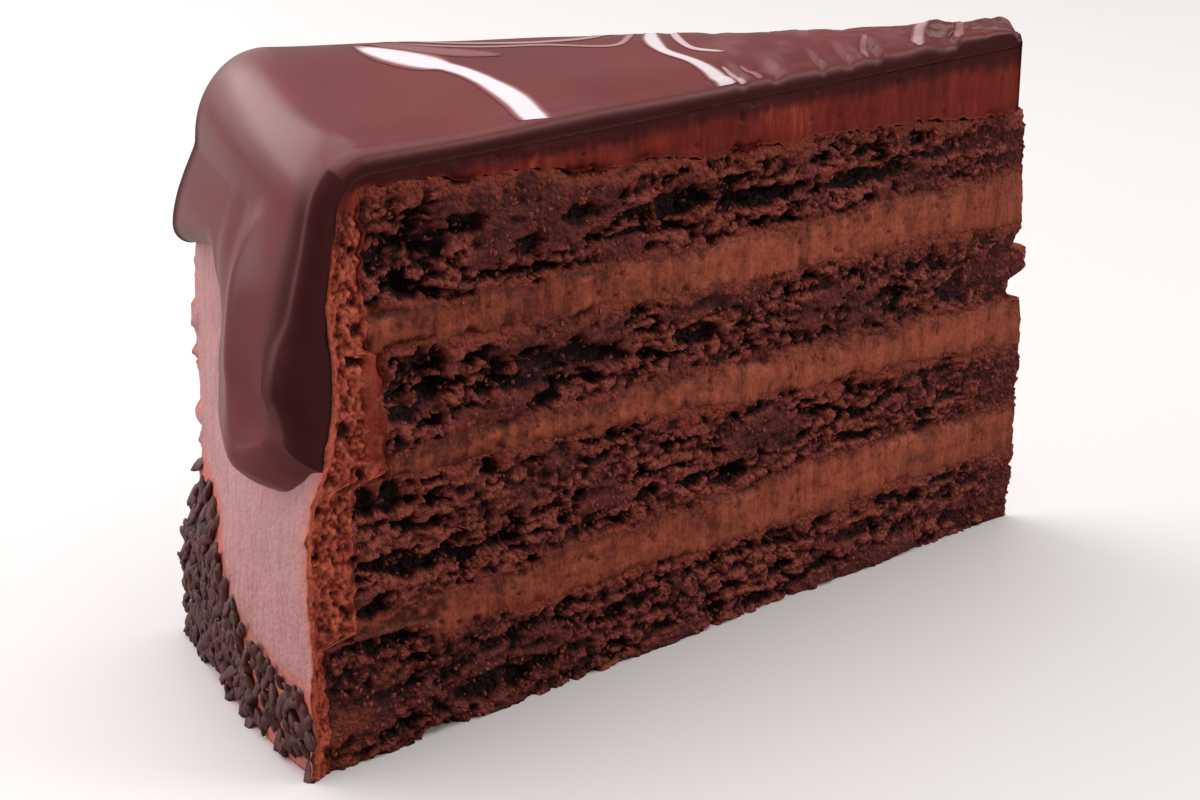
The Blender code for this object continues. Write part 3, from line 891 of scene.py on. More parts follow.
@dataclass(frozen=True)
class GlazeFinish(Finish):
    """Poured chocolate with a satin gloss, with painted shade on its cut side and the drip's near edge, and
    faint pink streaks towards the tip that are partly milk and partly painted sheen; milk swirls share it, so
    that they melt into it.
    """

    deep: Colour = (0.152, 0.026, 0.025)
    glow: Colour = (0.192, 0.034, 0.033)
    # Painted shade of the cut side and the drip's near edge.
    side: Colour = (0.062, 0.0100, 0.0108)
    matte_by: float = 0.36
    pink: Colour = (0.42, 0.19, 0.20)
    milk: Colour = (0.90, 0.84, 0.88)

    def build(self) -> bpy.types.Material:
        """The material.

        Returns:
            The finished material.
        """
        made, sketch, shader = self.begin()
        where = sketch.place()
        broad = sketch.noise(where, 45.0, 2.0)
        grain = sketch.noise(where, 1900.0, 2.0)
        colour = sketch.mix(sketch.ramp(broad, ((0.35, 0.0), (0.65, 1.0))), self.deep, self.glow)
        # Painted shade on the cut side.
        colour = sketch.mix(sketch.attribute(Zone.CUT), colour, self.side)
        milk = sketch.attribute(Zone.MILK)
        colour = sketch.mix(sketch.ramp(milk, ((0.0, 0.0), (0.5, 1.0))), colour, self.pink)
        colour = sketch.mix(sketch.ramp(milk, ((0.45, 0.0), (0.95, 1.0))), colour, self.milk)
        sketch.tree.links.new(colour, shader.inputs["Base Color"])
        matte = sketch.times(sketch.attribute(Zone.CUT), self.matte_by)
        sketch.tree.links.new(sketch.add(matte, self.roughness), shader.inputs["Roughness"])
        dulled = sketch.times(sketch.attribute(Zone.CUT), 0.6 * self.specular)
        sketch.tree.links.new(sketch.less(self.specular, dulled), shader.inputs["Specular IOR Level"])
        height = sketch.add(sketch.times(grain, 0.25), sketch.noise(where, 160.0, 3.0))
        self.relief(sketch, shader, height)
        return made


@dataclass(frozen=True)
class FlakeFinish(Finish):
    """Dark chocolate flakes with lighter patches at random, partly a dull bloom and partly painted sheen."""

    dark: Colour = (0.034, 0.010, 0.010)
    bloom_and_sheen: Colour = (0.160, 0.051, 0.046)

    def build(self) -> bpy.types.Material:
        """The material.

        Returns:
            The finished material.
        """
        made, sketch, shader = self.begin()
        where = sketch.place()
        tone = sketch.noise(where, 420.0, 3.0, 0.65)
        # Lighter patches at random: partly bloom, partly painted sheen.
        colour = sketch.ramp(tone, ((0.3, self.dark), (0.72, self.bloom_and_sheen)))
        sketch.tree.links.new(colour, shader.inputs["Base Color"])
        self.relief(sketch, shader, sketch.noise(where, 1600.0, 3.0))
        return made


@dataclass(frozen=True)
class FloorFinish(Finish):
    """A plain pale studio table with a faint sheen."""

    colour: Colour = (0.86, 0.836, 0.828)
    bounce: Colour = (0.34, 0.30, 0.285)

    def build(self) -> bpy.types.Material:
        """The material, which throws less light back at the slice than the camera sees.

        Returns:
            The finished material.
        """
        made, sketch, shader = self.begin()
        where = sketch.place()
        paler = tuple(min(1.0, part * 1.02) for part in self.colour)
        colour = sketch.mix(sketch.noise(where, 9.0, 2.0), self.colour, paler)
        seen = sketch.node("ShaderNodeLightPath").outputs["Is Camera Ray"]
        sketch.tree.links.new(sketch.mix(seen, self.bounce, colour), shader.inputs["Base Color"])
        return made


@dataclass(frozen=True)
class CutRelief:
    """How the cake tears at the cuts, as depths behind the plane of the cut."""

    crag: float = 1.15
    crag_length: float = 6.5
    crag_height: float = 3.4
    deepest_share: float = 0.55
    near_tears: Tears = (
        (58, 64.2, 9, 1.6, 3.6), (74, 62.6, 9, 1.5, 3.2), (94, 61.8, 9, 1.3, 2.8),
        (113, 63.2, 9, 1.3, 2.0), (15, 65.5, 6, 5.5, 2.6), (24, 68.5, 3, 1.5, 2.2),
        (33, 63.5, 3, 1.5, 2.2), (42, 66.0, 3, 1.6, 1.8), (16, 49.0, 5, 6.0, 2.4),
        (38, 46.5, 12, 3.0, 2.8), (63, 45.5, 5, 1.5, 2.4), (121, 42.5, 7, 2.2, 1.6),
        (10, 35.5, 5, 3.6, 3.0), (72, 32.0, 4, 1.2, 2.2), (69, 22.5, 4, 1.2, 2.4),
        (112, 27.5, 4, 2.6, 2.0), (10, 16.0, 6, 1.8, 2.4), (30, 4.5, 9, 1.8, 2.0),
        (52, 8.5, 5, 1.4, 1.6), (96, 7.0, 6, 1.3, 1.6),
    )
    far_tears: Tears = (
        (20, 66.0, 7, 2.2, 2.8), (48, 63.0, 10, 1.5, 3.0), (82, 62.5, 9, 1.4, 2.6),
        (106, 63.0, 7, 1.2, 2.0), (30, 47.5, 9, 2.6, 2.6), (66, 44.5, 7, 2.0, 2.4),
        (95, 43.0, 6, 1.6, 2.0), (14, 31.0, 5, 3.4, 2.8), (50, 26.5, 8, 1.8, 2.2),
        (88, 25.0, 6, 1.6, 2.0), (24, 8.0, 8, 2.0, 2.2), (70, 6.0, 8, 1.6, 1.8),
    )

    smooth_patches: tuple[tuple[float, float, float, float], ...] = (
        (34, 70.0, 22, 4.5), (30, 64.0, 8, 4.0), (48, 60.5, 7, 1.6), (62, 66.5, 7, 2.0), (66, 49.5, 12, 1.8),
    )

    def limited(self, depth: np.ndarray, radius: np.ndarray) -> np.ndarray:
        """Keeps the two cuts apart where the slice is narrow."""
        most = self.deepest_share * np.maximum(radius, 0.5) * math.tan(SHAPE.angle / 2)
        return most * (1 - np.exp(-np.maximum(depth, 0.0) / most))

    def _tears(self, side: Side, inset: np.ndarray, height: np.ndarray, ragged: np.ndarray) -> np.ndarray:
        """Depth of the larger holes, with ragged edges.

        Args:
            side: which cut.
            inset: distance in from the rim corner.
            height: above the board.
            ragged: noise that frays the edges.

        Returns:
            Depths behind the cut.
        """
        depth = np.zeros(inset.shape)
        tears = self.near_tears if side is Side.NEAR else self.far_tears
        for centre, level, half_length, half_height, deep in tears:
            gone = ((inset - centre) / half_length) ** 2 + ((height - level) / half_height) ** 2
            depth = np.maximum(depth, 0.85 * deep * (1 - smoothstep(0.35, 1.35, gone + 1.2 * ragged)))
        return depth

    def worn(self, side: Side, inset: np.ndarray, height: np.ndarray) -> np.ndarray:
        """Where the knife has smeared the crumb flat, from 0 to 1.

        Args:
            side: which cut.
            inset: distance in from the rim corner.
            height: above the board.

        Returns:
            How flat each place is.
        """
        grain = Grain(17 + side.value)
        patch = grain.rough(inset / 15, height / 6.5)
        for centre, level, half_length, half_height in self.smooth_patches:
            gone = ((inset - centre) / half_length) ** 2 + ((height - level) / half_height) ** 2
            patch = patch + 0.6 * (1 - smoothstep(0.3, 1.2, gone))
        return smoothstep(0.12, 0.5, patch + 0.25 * grain.rough(inset / 2.5, height / 2.5))

    def edge_depth(self, index: int, side: Side, inset: np.ndarray) -> np.ndarray:
        """Depth along a boundary, which both of its layers share, so that no groove runs between them.

        Args:
            index: the boundary, or GLAZE_EDGE, or WALL.
            side: which cut.
            inset: distance along the boundary.

        Returns:
            Depths behind the cut.
        """
        grain = Grain(400 + 10 * index + side.value)
        if index == GLAZE_EDGE:
            return 0.4 + 0.1 * grain.rough(inset / 3.5, inset * 0)
        crack = smoothstep(0.25, 0.6, grain.rough(inset / 6.0, inset * 0 + 3))
        return 0.42 + 0.25 * grain.rough(inset / 1.7, inset * 0) + 0.9 * crack

    @staticmethod
    def wall_wander(height: np.ndarray, across: np.ndarray) -> np.ndarray:
        """How the coat's inner wall strays from its upright line.

        Args:
            height: above the board.
            across: 0 at the near cut to 1 at the far one.

        Returns:
            Distances towards the rim.
        """
        near, far = Grain(501), Grain(502)
        level = height * 0
        return sum(
            share * (0.8 * grain.rough(height / 2.4, level) + 0.45 * grain.rough(height / 0.9, level + 4))
            for share, grain in ((1 - across, near), (across, far))
        )

    def sponge(self, side: Side, inset: np.ndarray, height: np.ndarray) -> np.ndarray:
        """Depth of the torn crumb: the solid's own crags, then lumps, cracks and holes.

        Args:
            side: which cut.
            inset: distance from the rim corner.
            height: above the board.

        Returns:
            Depths behind the cut.
        """
        grain = Grain(11 + 7 * side.value)
        slide = 11.0 * side.value
        a, b = inset / self.crag_length, height / self.crag_height
        crag = perlin(a, b, slide) + 0.6 * perlin(a * 2.3, b * 2.3, slide * 2.3)
        depth = 0.75 * self.crag * np.maximum(0.0, 0.45 + 0.75 * crag)
        x = inset + 0.9 * grain.rough(inset / 1.9, height / 1.5)
        z = height + 0.6 * grain.rough(inset / 1.7 + 40, height / 1.3 + 9)
        rough = 1 - 0.8 * self.worn(side, inset, height)
        ragged = 0.9 * grain.rough(x / 2.4, z / 1.1)
        near, following, number = grain.cells(x / 2.9, z / 1.6)
        lump = 0.6 * np.minimum(1.0, near * near) + 1.1 * np.maximum(0.0, number - 0.45)
        lump = lump + 0.5 * bell(following - near, 0.15)
        near, following, number = Grain(grain.seed + 1).cells(x / 1.0, z / 0.8)
        fine = 0.5 * np.minimum(1.0, near * near) + 0.45 * (number - 0.5)
        fine = fine + 0.5 * grain.rough(x / 0.9, z / 0.75)
        holes = 2.6 * smoothstep(0.1, 0.34, grain.rough(x / 4.4 + 5, z / 1.5, 4))
        scraped = (1 - rough) * 0.12 * grain.rough(inset / 0.7, height / 3.5)
        depth = depth + rough * (lump + fine + holes) + scraped
        return np.maximum(depth + self._tears(side, inset, height, ragged) - 0.35, 0.0)

    def pit_shading(self, depth: np.ndarray, spacing: float) -> np.ndarray:
        """How far each place lies below its surroundings, which the finishes paint as shade: 0 stands proud,
        0.35 is level, 1 is a hole.

        Args:
            depth: depths behind the cut.
            spacing: distance between its places.

        Returns:
            The values.
        """
        hollow = depth - blurred(depth, max(1, int(1.3 / spacing)))
        deep = smoothstep(1.0, 3.2, depth)
        return np.clip(0.35 + 0.75 * hollow + 0.47 * deep, 0.0, 1.0)

    def cream(self, side: Side, inset: np.ndarray, height: np.ndarray) -> np.ndarray:
        """Depth of soft cream dragged upright by the knife.

        Args:
            side: which cut.
            inset: distance in from the rim corner.
            height: above the board.

        Returns:
            Depths behind the cut.
        """
        grain = Grain(31 + 5 * side.value)
        streak = grain.rough(inset / 0.8, height / 7.0)
        dent = grain.rough(inset / 5.0, height / 2.4)
        bumps = grain.rough(inset / 1.3, height / 1.1)
        hole = 0.45 * smoothstep(0.6, 0.75, grain.rough(inset / 1.4 + 8, height / 1.0, 2))
        return 0.30 + 0.14 * streak + 0.24 * dent + 0.07 * bumps + hole


@dataclass
class CakeLayer:
    """A sponge or a filling that runs through the slice."""

    index: int
    name: str
    rim_radius: float
    spacing: float = 0.3
    overlap: float = 0.12
    thinnest: float = 0.7
    columns: int = 7
    measured_at: float = 20.0
    relief: CutRelief = field(default_factory=CutRelief)

    @property
    def is_sponge(self) -> bool:
        """Whether this layer is sponge rather than cream."""
        return self.name.startswith("sponge")

    def _grain(self, side: Side) -> Grain:
        """The pattern of one of this layer's cuts."""
        return Grain(50 + 3 * self.index + side.value)

    def _sponge_cut(
        self, side: Side, u: np.ndarray, z: np.ndarray, below: np.ndarray, above: np.ndarray
    ) -> tuple[np.ndarray, np.ndarray]:
        """Torn crumb, with cream dragged over it from the fillings beside it.

        Args:
            side: which cut.
            u: distance in from the rim corner.
            z: height above the board.
            below: height above the layer's own foot.
            above: depth under the layer's own top.

        Returns:
            Depths behind the cut, and how far cream covers the crumb.
        """
        grain = self._grain(side)
        drag = 0.8 + 3.4 * np.maximum(0.0, grain.rough(u / 1.1, z / 9.0))
        drag = drag + 1.8 * grain.rough(u / 8.0, z / 9.0)
        crumbs = grain.rough(u / 1.2, z / 0.9)
        from_above = smoothstep(0.9, -0.6, above - drag)
        from_below = smoothstep(0.5, -0.5, below - 0.9 - 1.3 * crumbs) if self.index else 0 * z
        streaks = smoothstep(0.25, 0.6, grain.rough(u / 0.9 + 30, z / 10.0))
        streaks = 0.65 * streaks * smoothstep(-0.05, 0.4, grain.rough(u / 9.0 + 6, z / 6.0))
        foot = smoothstep(8.5, 3.5, u + 2.0 * crumbs) * smoothstep(11.0, 6.0, z + 2.0 * crumbs)
        smear = np.maximum.reduce([from_above, from_below, streaks, 0.9 * foot])
        return self.relief.sponge(side, u, z) * (1 - 0.65 * smear), smear

    def _cream_cut(
        self, side: Side, u: np.ndarray, z: np.ndarray, below: np.ndarray, above: np.ndarray
    ) -> tuple[np.ndarray, np.ndarray]:
        """Soft cream with crumbs strewn along its top, dragged up from its foot and dusted over it.

        Args:
            side: which cut.
            u: distance in from the rim corner.
            z: height above the board.
            below: height above the layer's own foot.
            above: depth under the layer's own top.

        Returns:
            Depths behind the cut, and how far crumbs cover the cream.
        """
        grain = self._grain(side)
        sunk = self.relief.cream(side, u, z)
        crumbs = grain.rough(u / 0.9, z / 0.8)
        strewn = 0.6 + 3.0 * np.maximum(0.0, crumbs + 0.1) * (1 + grain.rough(u / 7.0, z * 0 + 1))
        dragged = 0.2 + 2.4 * np.maximum(0.0, grain.rough(u / 0.8, z / 6.0) - 0.05)
        dusted = smoothstep(0.15, 0.55, grain.rough(u / 8.0, z / 2.2 + 3) + 0.5 * crumbs)
        smear = np.maximum.reduce([
            0.95 * smoothstep(0.5, -0.5, above - strewn),
            0.75 * smoothstep(0.6, -0.6, below - dragged),
            0.6 * dusted,
        ])
        if self.index == 1:
            buried = smoothstep(20.0, 14.0, u + 3.0 * crumbs)
            smear = np.maximum(smear, buried)
            sunk = sunk + buried * (0.5 + 0.9 * grain.rough(u / 1.3, z / 0.9))
        return sunk, smear

    def _rim_shade_and_tone(self, side: Side, u: np.ndarray, z: np.ndarray) -> np.ndarray:
        """Painted shade: how much darker the layer is towards the rim and the board; cream also gets a tone
        that differs at random.

        Args:
            side: which cut.
            u: distance in from the rim corner.
            z: height above the board.

        Returns:
            What is added to the painted shade of the hollows.
        """
        rim_shade = 0.2 * smoothstep(75, 15, u)
        if self.is_sponge:
            return rim_shade * smoothstep(26, 8, z)
        return rim_shade + 0.12 * self._grain(side).rough(u / 14.0, z * 0 + 6)

    def build(self, material: bpy.types.Material) -> bpy.types.Object:
        """The layer as one closed mesh.

        Args:
            material: its finish.

        Returns:
            The new object.
        """
        level = np.array([self.measured_at])
        under = SHAPE.boundary(self.index, level, 0.0)
        thick = float((SHAPE.boundary(self.index + 1, level, 0.0) - under)[0])
        stations = int(SHAPE.reach / self.spacing)
        rows = max(6, int(thick / self.spacing))
        share = np.linspace(0, 1, stations + 1)[:, None, None]
        across = np.linspace(0, 1, self.columns)[None, :, None]
        up = np.linspace(0, 1, rows + 1)[None, None, :]
        rim = SHAPE.leaned(self.rim_radius, across)
        inset = SHAPE.reach - rim * share
        low = SHAPE.torn_boundary(self.index, inset, across) - (self.overlap if self.index else 0.0)
        high = SHAPE.torn_boundary(self.index + 1, inset, across) + self.overlap
        high = np.maximum(high, low + self.thinnest)
        height = low + (high - low) * up
        ragged = Grain(600 + self.index).rough(height / 1.1, across * 1.5)
        notch = height + 1.1 * Grain(640).rough(height / 2.0, across * 1.5)
        tip = np.maximum(along(SHAPE.tip, notch) + (0.9 if self.is_sponge else 0.4) * ragged, 0.5)
        wall = rim + 0.3 + self.relief.wall_wander(height, across)
        radius = tip + (wall - tip) * share
        inset, across = np.broadcast_arrays(SHAPE.reach - radius, across)
        depth, pit_shade, smear, worn = (np.zeros(height.shape) for _ in range(4))
        for side, b in CUTS:
            u, z = inset[:, b], height[:, b]
            below, above = z - low[:, b], high[:, b] - z
            if self.is_sponge:
                worn[:, b] = self.relief.worn(side, u, z)
                sunk, smear[:, b] = self._sponge_cut(side, u, z, below, above)
            else:
                sunk, smear[:, b] = self._cream_cut(side, u, z, below, above)
            for edge, index in ((below, self.index), (above, self.index + 1)):
                if index:
                    shared = self.relief.edge_depth(index, side, u)
                    sunk = sunk + (shared - sunk) * bell(edge, BOUNDARY_HOLD)
            held = bell(wall[:, b] - radius[:, b], WALL_HOLD)
            sunk = sunk + (self.relief.edge_depth(WALL, side, z) - sunk) * held
            depth[:, b] = self.relief.limited(sunk, radius[:, b])
            # Painted shade: hollows, and the rim side, darken the layer's colour.
            hollow = self.relief.pit_shading(depth[:, b], self.spacing)
            pit_shade[:, b] = np.minimum(hollow + self._rim_shade_and_tone(side, u, z), 1.0)
        points = SHAPE.place(radius, across, height, depth)
        if self.index == 0:
            points[..., 2] = np.maximum(points[..., 2], 0.0)
        attributes = {Zone.PIT_SHADE: pit_shade, Zone.SMEAR: smear, Zone.WORN: worn}
        mesh = Lattice(points, attributes, (inset, height)).mesh(self.name)
        slot = "sponge" if self.is_sponge else "filling"
        return Piece(f"{self.name}_torn", slot, (self.name,)).add(mesh, material)


@dataclass
class FrostingCoat:
    """The frosting over the top and down the rim, with its porous torn wall."""

    wall_radius: float = 122.3
    spacing: float = 0.46
    columns: int = 73
    through: int = 26
    tip_height: float = 77.0
    corner: float = 2.4
    corner_steps: int = 8
    relief: CutRelief = field(default_factory=CutRelief)
    # The wall's inside as (height, radius), stepped by the layers that it covers
    inside: Table = (
        (0, 130.2), (17.6, 130.2), (18.4, 125.3), (38.0, 125.3),
        (38.8, 119.8), (54.6, 119.8), (55.4, 122.3), (80, 122.3),
    )

    def _path(self) -> tuple[np.ndarray, np.ndarray, np.ndarray]:
        """Stations from the tip to the board.

        Returns:
            The inside radius, the inside height (-1 where the layers' top gives it) and the place on
            the outside.
        """
        tip = float(along(SHAPE.tip, np.array(self.tip_height)))
        top_count = int(SHAPE.reach / self.spacing)
        share = np.linspace(0, 1, top_count + 1)
        turn = self.wall_radius - self.corner
        radius = tip + (turn - tip) * share
        corner = np.linspace(0, 1, self.corner_steps + 1)[1:]
        wall_top = float(SHAPE.boundary(CEILING, np.array(SHAPE.reach - self.wall_radius), np.array(0.0)))
        heights = np.linspace(wall_top - 0.6, 0, int(wall_top / self.spacing))
        edge = SHAPE.outline(np.array(2.0), np.array(0.0))[1]
        place_on = np.concatenate([share, 1 + corner * 0.93, 2 + (edge - heights) / edge])
        place_on = np.maximum.accumulate(place_on)
        places, radii = np.array(self.inside).T
        inside_wall = np.interp(heights, places, radii)
        radius = np.concatenate([radius, turn + self.corner * corner, inside_wall])
        level = np.concatenate([np.full(top_count + 1 + self.corner_steps, -1.0), heights])
        return radius, level, place_on

    def _rim_relief(self, distance: np.ndarray, height: np.ndarray) -> np.ndarray:
        """How far the spread frosting stands proud of its smooth outline on the rim.

        Args:
            distance: along the rim from the near cut.
            height: above the board.

        Returns:
            Distances outwards.
        """
        grain = Grain(71)
        spread = 0.28 * grain.rough(distance / 11.0, height / 7.0)
        spread = spread + 0.05 * grain.rough(distance / 4.0, height / 0.9)
        corner = smoothstep(SHAPE.width - 3.6, SHAPE.width - 0.6, distance)
        near_corner = smoothstep(2.2, 0.1, distance)
        torn = 1.5 * np.maximum(0.0, grain.rough(distance / 2.4, height / 2.2 + 8) + 0.1)
        lumps = 0.5 + 0.5 * grain.rough(distance / 1.6, height / 1.6 + 4)
        foot = 1.6 * smoothstep(6.0, 2.0, height) * lumps
        return spread + torn * (corner + 0.55 * near_corner) + foot * near_corner

    def build(self, material: bpy.types.Material) -> bpy.types.Object:
        """The coat as one closed mesh.

        Args:
            material: its finish.

        Returns:
            The new object.
        """
        inner_radius, level, place_on = self._path()
        shape = (len(place_on), self.columns, self.through)
        across = np.broadcast_to(np.linspace(0, 1, self.columns)[None, :, None], shape)
        share = np.broadcast_to(np.linspace(0, 1, self.through)[None, None, :], shape)
        outside = SHAPE.outline(place_on[:, None], across[:, :, 0])[:, :, None, :]
        start_radius = SHAPE.leaned(inner_radius[:, None, None], across)
        radius = start_radius + (outside[..., 0] - start_radius) * share
        ceiling = SHAPE.torn_boundary(CEILING, SHAPE.reach - start_radius[..., 0], across[..., 0])
        start_height = np.where(level[:, None] < 0, ceiling, level[:, None])[..., None]
        height = start_height + (outside[..., 1] - start_height) * share
        below_ceiling = (level[:, None] >= 0) * 1.0
        wander = self.relief.wall_wander(start_height[..., 0], across[..., 0]) * below_ceiling
        radius = radius + wander[..., None] * (1 - share)
        distance = across * SHAPE.width
        on_rim = smoothstep(2.0, 2.2, place_on)[:, None, None] * np.ones(shape)
        radius = radius + on_rim * share**4 * self._rim_relief(distance, height)
        inset = SHAPE.reach - radius
        depth, pit_shade, porous, dragged = (np.zeros(shape) for _ in range(4))
        for side, b in CUTS:
            u, z = inset[:, b], height[:, b]
            wall = smoothstep(12.0, 9.0, u) * smoothstep(74.8, 72.6, z + 0.1 * u)
            strip = smoothstep(7.4, 8.2, u) * smoothstep(39.5, 41.5, z) * smoothstep(56.5, 54.0, z)
            bubbly = wall * (1 - strip)
            grain = Grain(81 + side.value)
            x = u + 0.35 * grain.rough(u / 1.1, z / 1.1)
            near, following, number = grain.cells(x / 1.1, z / 0.95)
            lump = 0.4 * np.minimum(1.0, near * near) + 0.7 * np.maximum(0.0, number - 0.55)
            lump = lump + 0.35 * bell(following - near, 0.16) + 0.3 * grain.rough(u / 0.7, z / 0.7)
            torn = 0.35 + lump + 0.9 * smoothstep(0.22, 0.45, grain.rough(u / 2.3, z / 2.0 + 4))
            cream = self.relief.cream(side, u, z)
            sunk = cream * (1 - bubbly) + bubbly * torn
            meeting = bell(z - ceiling[:, b, None], BOUNDARY_HOLD) * (1 - wall)
            sunk = sunk + (self.relief.edge_depth(CEILING, side, u) - sunk) * meeting
            inner = bell(radius[:, b] - radius[:, b, :1], WALL_HOLD) * below_ceiling[:, b, None]
            sunk = sunk + (self.relief.edge_depth(WALL, side, z) - sunk) * inner
            outer = np.hypot(outside[:, b, :, 0] - radius[:, b], outside[:, b, :, 1] - height[:, b])
            held = bell(outer, 0.8)
            reach = 1.9 + 0.9 * grain.rough(u / 0.8, z / 9.0) + 1.0 * grain.rough(u / 7.0, z / 9.0)
            off_rim = 1 - on_rim[:, b]
            # Painted shade: a band of glaze dragged down under the glaze's edge.
            dragged[:, b] = 0.9 * smoothstep(1.3, -0.6, outer - reach) * off_rim * smoothstep(3.0, 8.0, u)
            sunk = sunk + (self.relief.edge_depth(GLAZE_EDGE, side, u) * off_rim - sunk) * held
            # Painted shade in the hollows of the cut coat.
            pit_shade[:, b] = self.relief.pit_shading(sunk, 0.4)
            depth[:, b] = self.relief.limited(sunk, radius[:, b])
            depth[:, b] *= 1 - 0.75 * smoothstep(0.8, 1.0, share[:, b]) * on_rim[:, b]
            porous[:, b] = wall * (1 - 0.65 * strip)
        # The rim is paled towards pink, partly painted sheen; less among the flakes and towards the cut
        # corners.
        s, z = distance[..., -1], height[..., -1]
        edge = np.minimum(s, 1.4 * (SHAPE.width - s)) - 1.2 * Grain(72).rough(s / 3.0, z / 5.0)
        bare = smoothstep(-2.0, 1.5, z - along(RimFlakes.upper_edge, s))
        bare = bare * (0.35 + 0.65 * smoothstep(0.2, 3.0, edge))
        rim = np.zeros(shape)
        rim[:, 1:-1, -1] = (on_rim[..., -1] * (0.35 + 0.65 * bare))[:, 1:-1]
        porous[..., -1] = np.maximum(porous[..., -1], on_rim[..., -1])
        points = SHAPE.place(radius, across, height, depth)
        points[..., 2] = np.maximum(points[..., 2], 0.0)
        attributes = {Zone.PIT_SHADE: pit_shade, Zone.POROUS: porous, Zone.RIM: rim, Zone.CUT: dragged}
        mesh = Lattice(points, attributes, (inset, height)).mesh("frosting")
        return Piece("frosting", "frosting", ("coat",)).add(mesh, material)


@dataclass
class Glaze:
    """The poured glaze: a crowned sheet on top, a rolled shoulder, a wide drip and a lip."""

    edge: float = 79.9
    crown: float = 1.2
    roll: float = 3.2
    far_rise: float = 4.5
    wave: float = 0.4
    wave_length: float = 19.0
    gap: float = -0.12
    shoulder: float = 3.2
    foot: Table = (
        (0, 41.2), (2, 40.6), (4, 38.8), (7, 37.0), (10, 36.4), (13, 37.2), (16, 39.2), (19, 42.4),
        (21.5, 47.0), (23.5, 53.0), (25.2, 58.0), (27, 60.6), (30, 61.5), (36, 60.8), (43, 59.2), (50, 57.2),
    )
    foot_round: float = 3.4
    places: tuple[float, ...] = (0, 3, 10, 17, 21, 25, 35, 50)
    thickness: tuple[tuple[float, tuple[float, ...]], ...] = (
        (36, (5.0, 5.2, 5.8, 4.8, 3.2, 2.0, 2.0, 2.0)),
        (45, (5.4, 5.5, 6.8, 5.9, 4.0, 1.8, 2.0, 2.0)),
        (52, (7.6, 6.3, 6.9, 6.1, 4.2, 2.0, 2.4, 2.6)),
        (57, (6.3, 5.7, 6.4, 5.7, 4.3, 2.8, 3.2, 3.4)),
        (61, (4.2, 4.5, 5.6, 5.0, 4.2, 3.4, 3.5, 3.8)),
        (66, (3.5, 3.8, 4.4, 4.2, 3.8, 3.4, 3.3, 3.3)),
        (72, (3.2, 3.2, 3.4, 3.4, 3.3, 3.2, 3.2, 3.2)),
    )
    stations: tuple[int, int, int] = ((200, 40, 160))
    columns: int = 100
    through: int = 15
    cut_round: float = 2.6
    crest: float = 0.9
    settle: int = 60
    top_ends: float = 1.4
    relief: CutRelief = field(default_factory=CutRelief)

    def top(self, radius: np.ndarray, across: np.ndarray) -> np.ndarray:
        """Height of the glaze's top: rolled down at the cuts, crowned between them.

        Args:
            radius: distance from the place where the cuts would meet.
            across: 0 at the near cut to 1 at the far one.

        Returns:
            Heights above the board.
        """
        edge = np.minimum(across, 1 - across) * radius * SHAPE.angle
        crown = self.crown * (1 - np.exp(-edge / self.roll))
        rise = self.far_rise * across * radius / SHAPE.reach
        swell = self.wave * perlin(radius / self.wave_length, across * 2.2, 4.0)
        grain = Grain(44)
        swell = swell + 0.6 * grain.rough(radius / 7.0, across * 2.0) * smoothstep(62, 34, radius)
        dent = smoothstep(0.05, 0.5, grain.rough(radius / 2.4, across * 0 + 2)) * smoothstep(66, 58, radius)
        swell = swell + 0.8 * grain.rough(radius / 5.0 + 7, across * 2.5) * smoothstep(34, 20, radius)
        end = 1.5 * np.exp(-np.maximum(0.0, radius - 5.5) / 1.6)
        return self.edge + crown + rise + swell - end - 0.85 * dent * np.exp(-edge / 1.8)

    def _on_rim(self, distance: np.ndarray, height: np.ndarray, foot: np.ndarray) -> np.ndarray:
        """Thickness on the rim, rounded off at the lower edge.

        Args:
            distance: along the rim from the near cut.
            height: above the board.
            foot: height of the lower edge.

        Returns:
            Thicknesses.
        """
        rows = [along(tuple(zip(self.places, row)), distance.ravel()) for _, row in self.thickness]
        full = cubic(np.array([z for z, _ in self.thickness], float), np.array(rows), height.ravel())
        left = np.clip((height - foot) / self.foot_round, 0.0, 1.0)
        crest = np.exp(-np.abs((distance - 10.6) / 2.6) ** 1.6)
        crest = crest * smoothstep(37, 54, height) * smoothstep(76, 66, height)
        valley = bell(distance - 17.0, 3.0) * smoothstep(50, 56, height) * smoothstep(74, 66, height)
        swelled = full.reshape(height.shape) + self.crest * crest - 0.6 * self.crest * valley
        return swelled * np.sqrt(np.maximum(0.0004, 1 - (1 - left) ** 2))

    def _thickness(
        self, place_on: np.ndarray, across: np.ndarray, inner: np.ndarray, foot: np.ndarray
    ) -> np.ndarray:
        """Thickness over the whole path from the tip to the lower edge.

        Args:
            place_on: as in SliceShape.outline.
            across: 0 at the near cut to 1 at the far one.
            inner: points (radius, height) under the glaze.
            foot: height of the lower edge.

        Returns:
            Thicknesses.
        """
        flat = self.top(inner[..., 0], across) - inner[..., 1]
        begin = SHAPE.outline(np.ones(across.shape), across)
        shoulder = self.top(begin[..., 0], across) - begin[..., 1] - self.gap
        turned = shoulder + (self.shoulder - shoulder) * smoothstep(1, 2, place_on)
        rim = self._on_rim(across * SHAPE.width, inner[..., 1], foot)
        return np.where(place_on <= 1, flat, np.where(place_on <= 2, turned, rim))

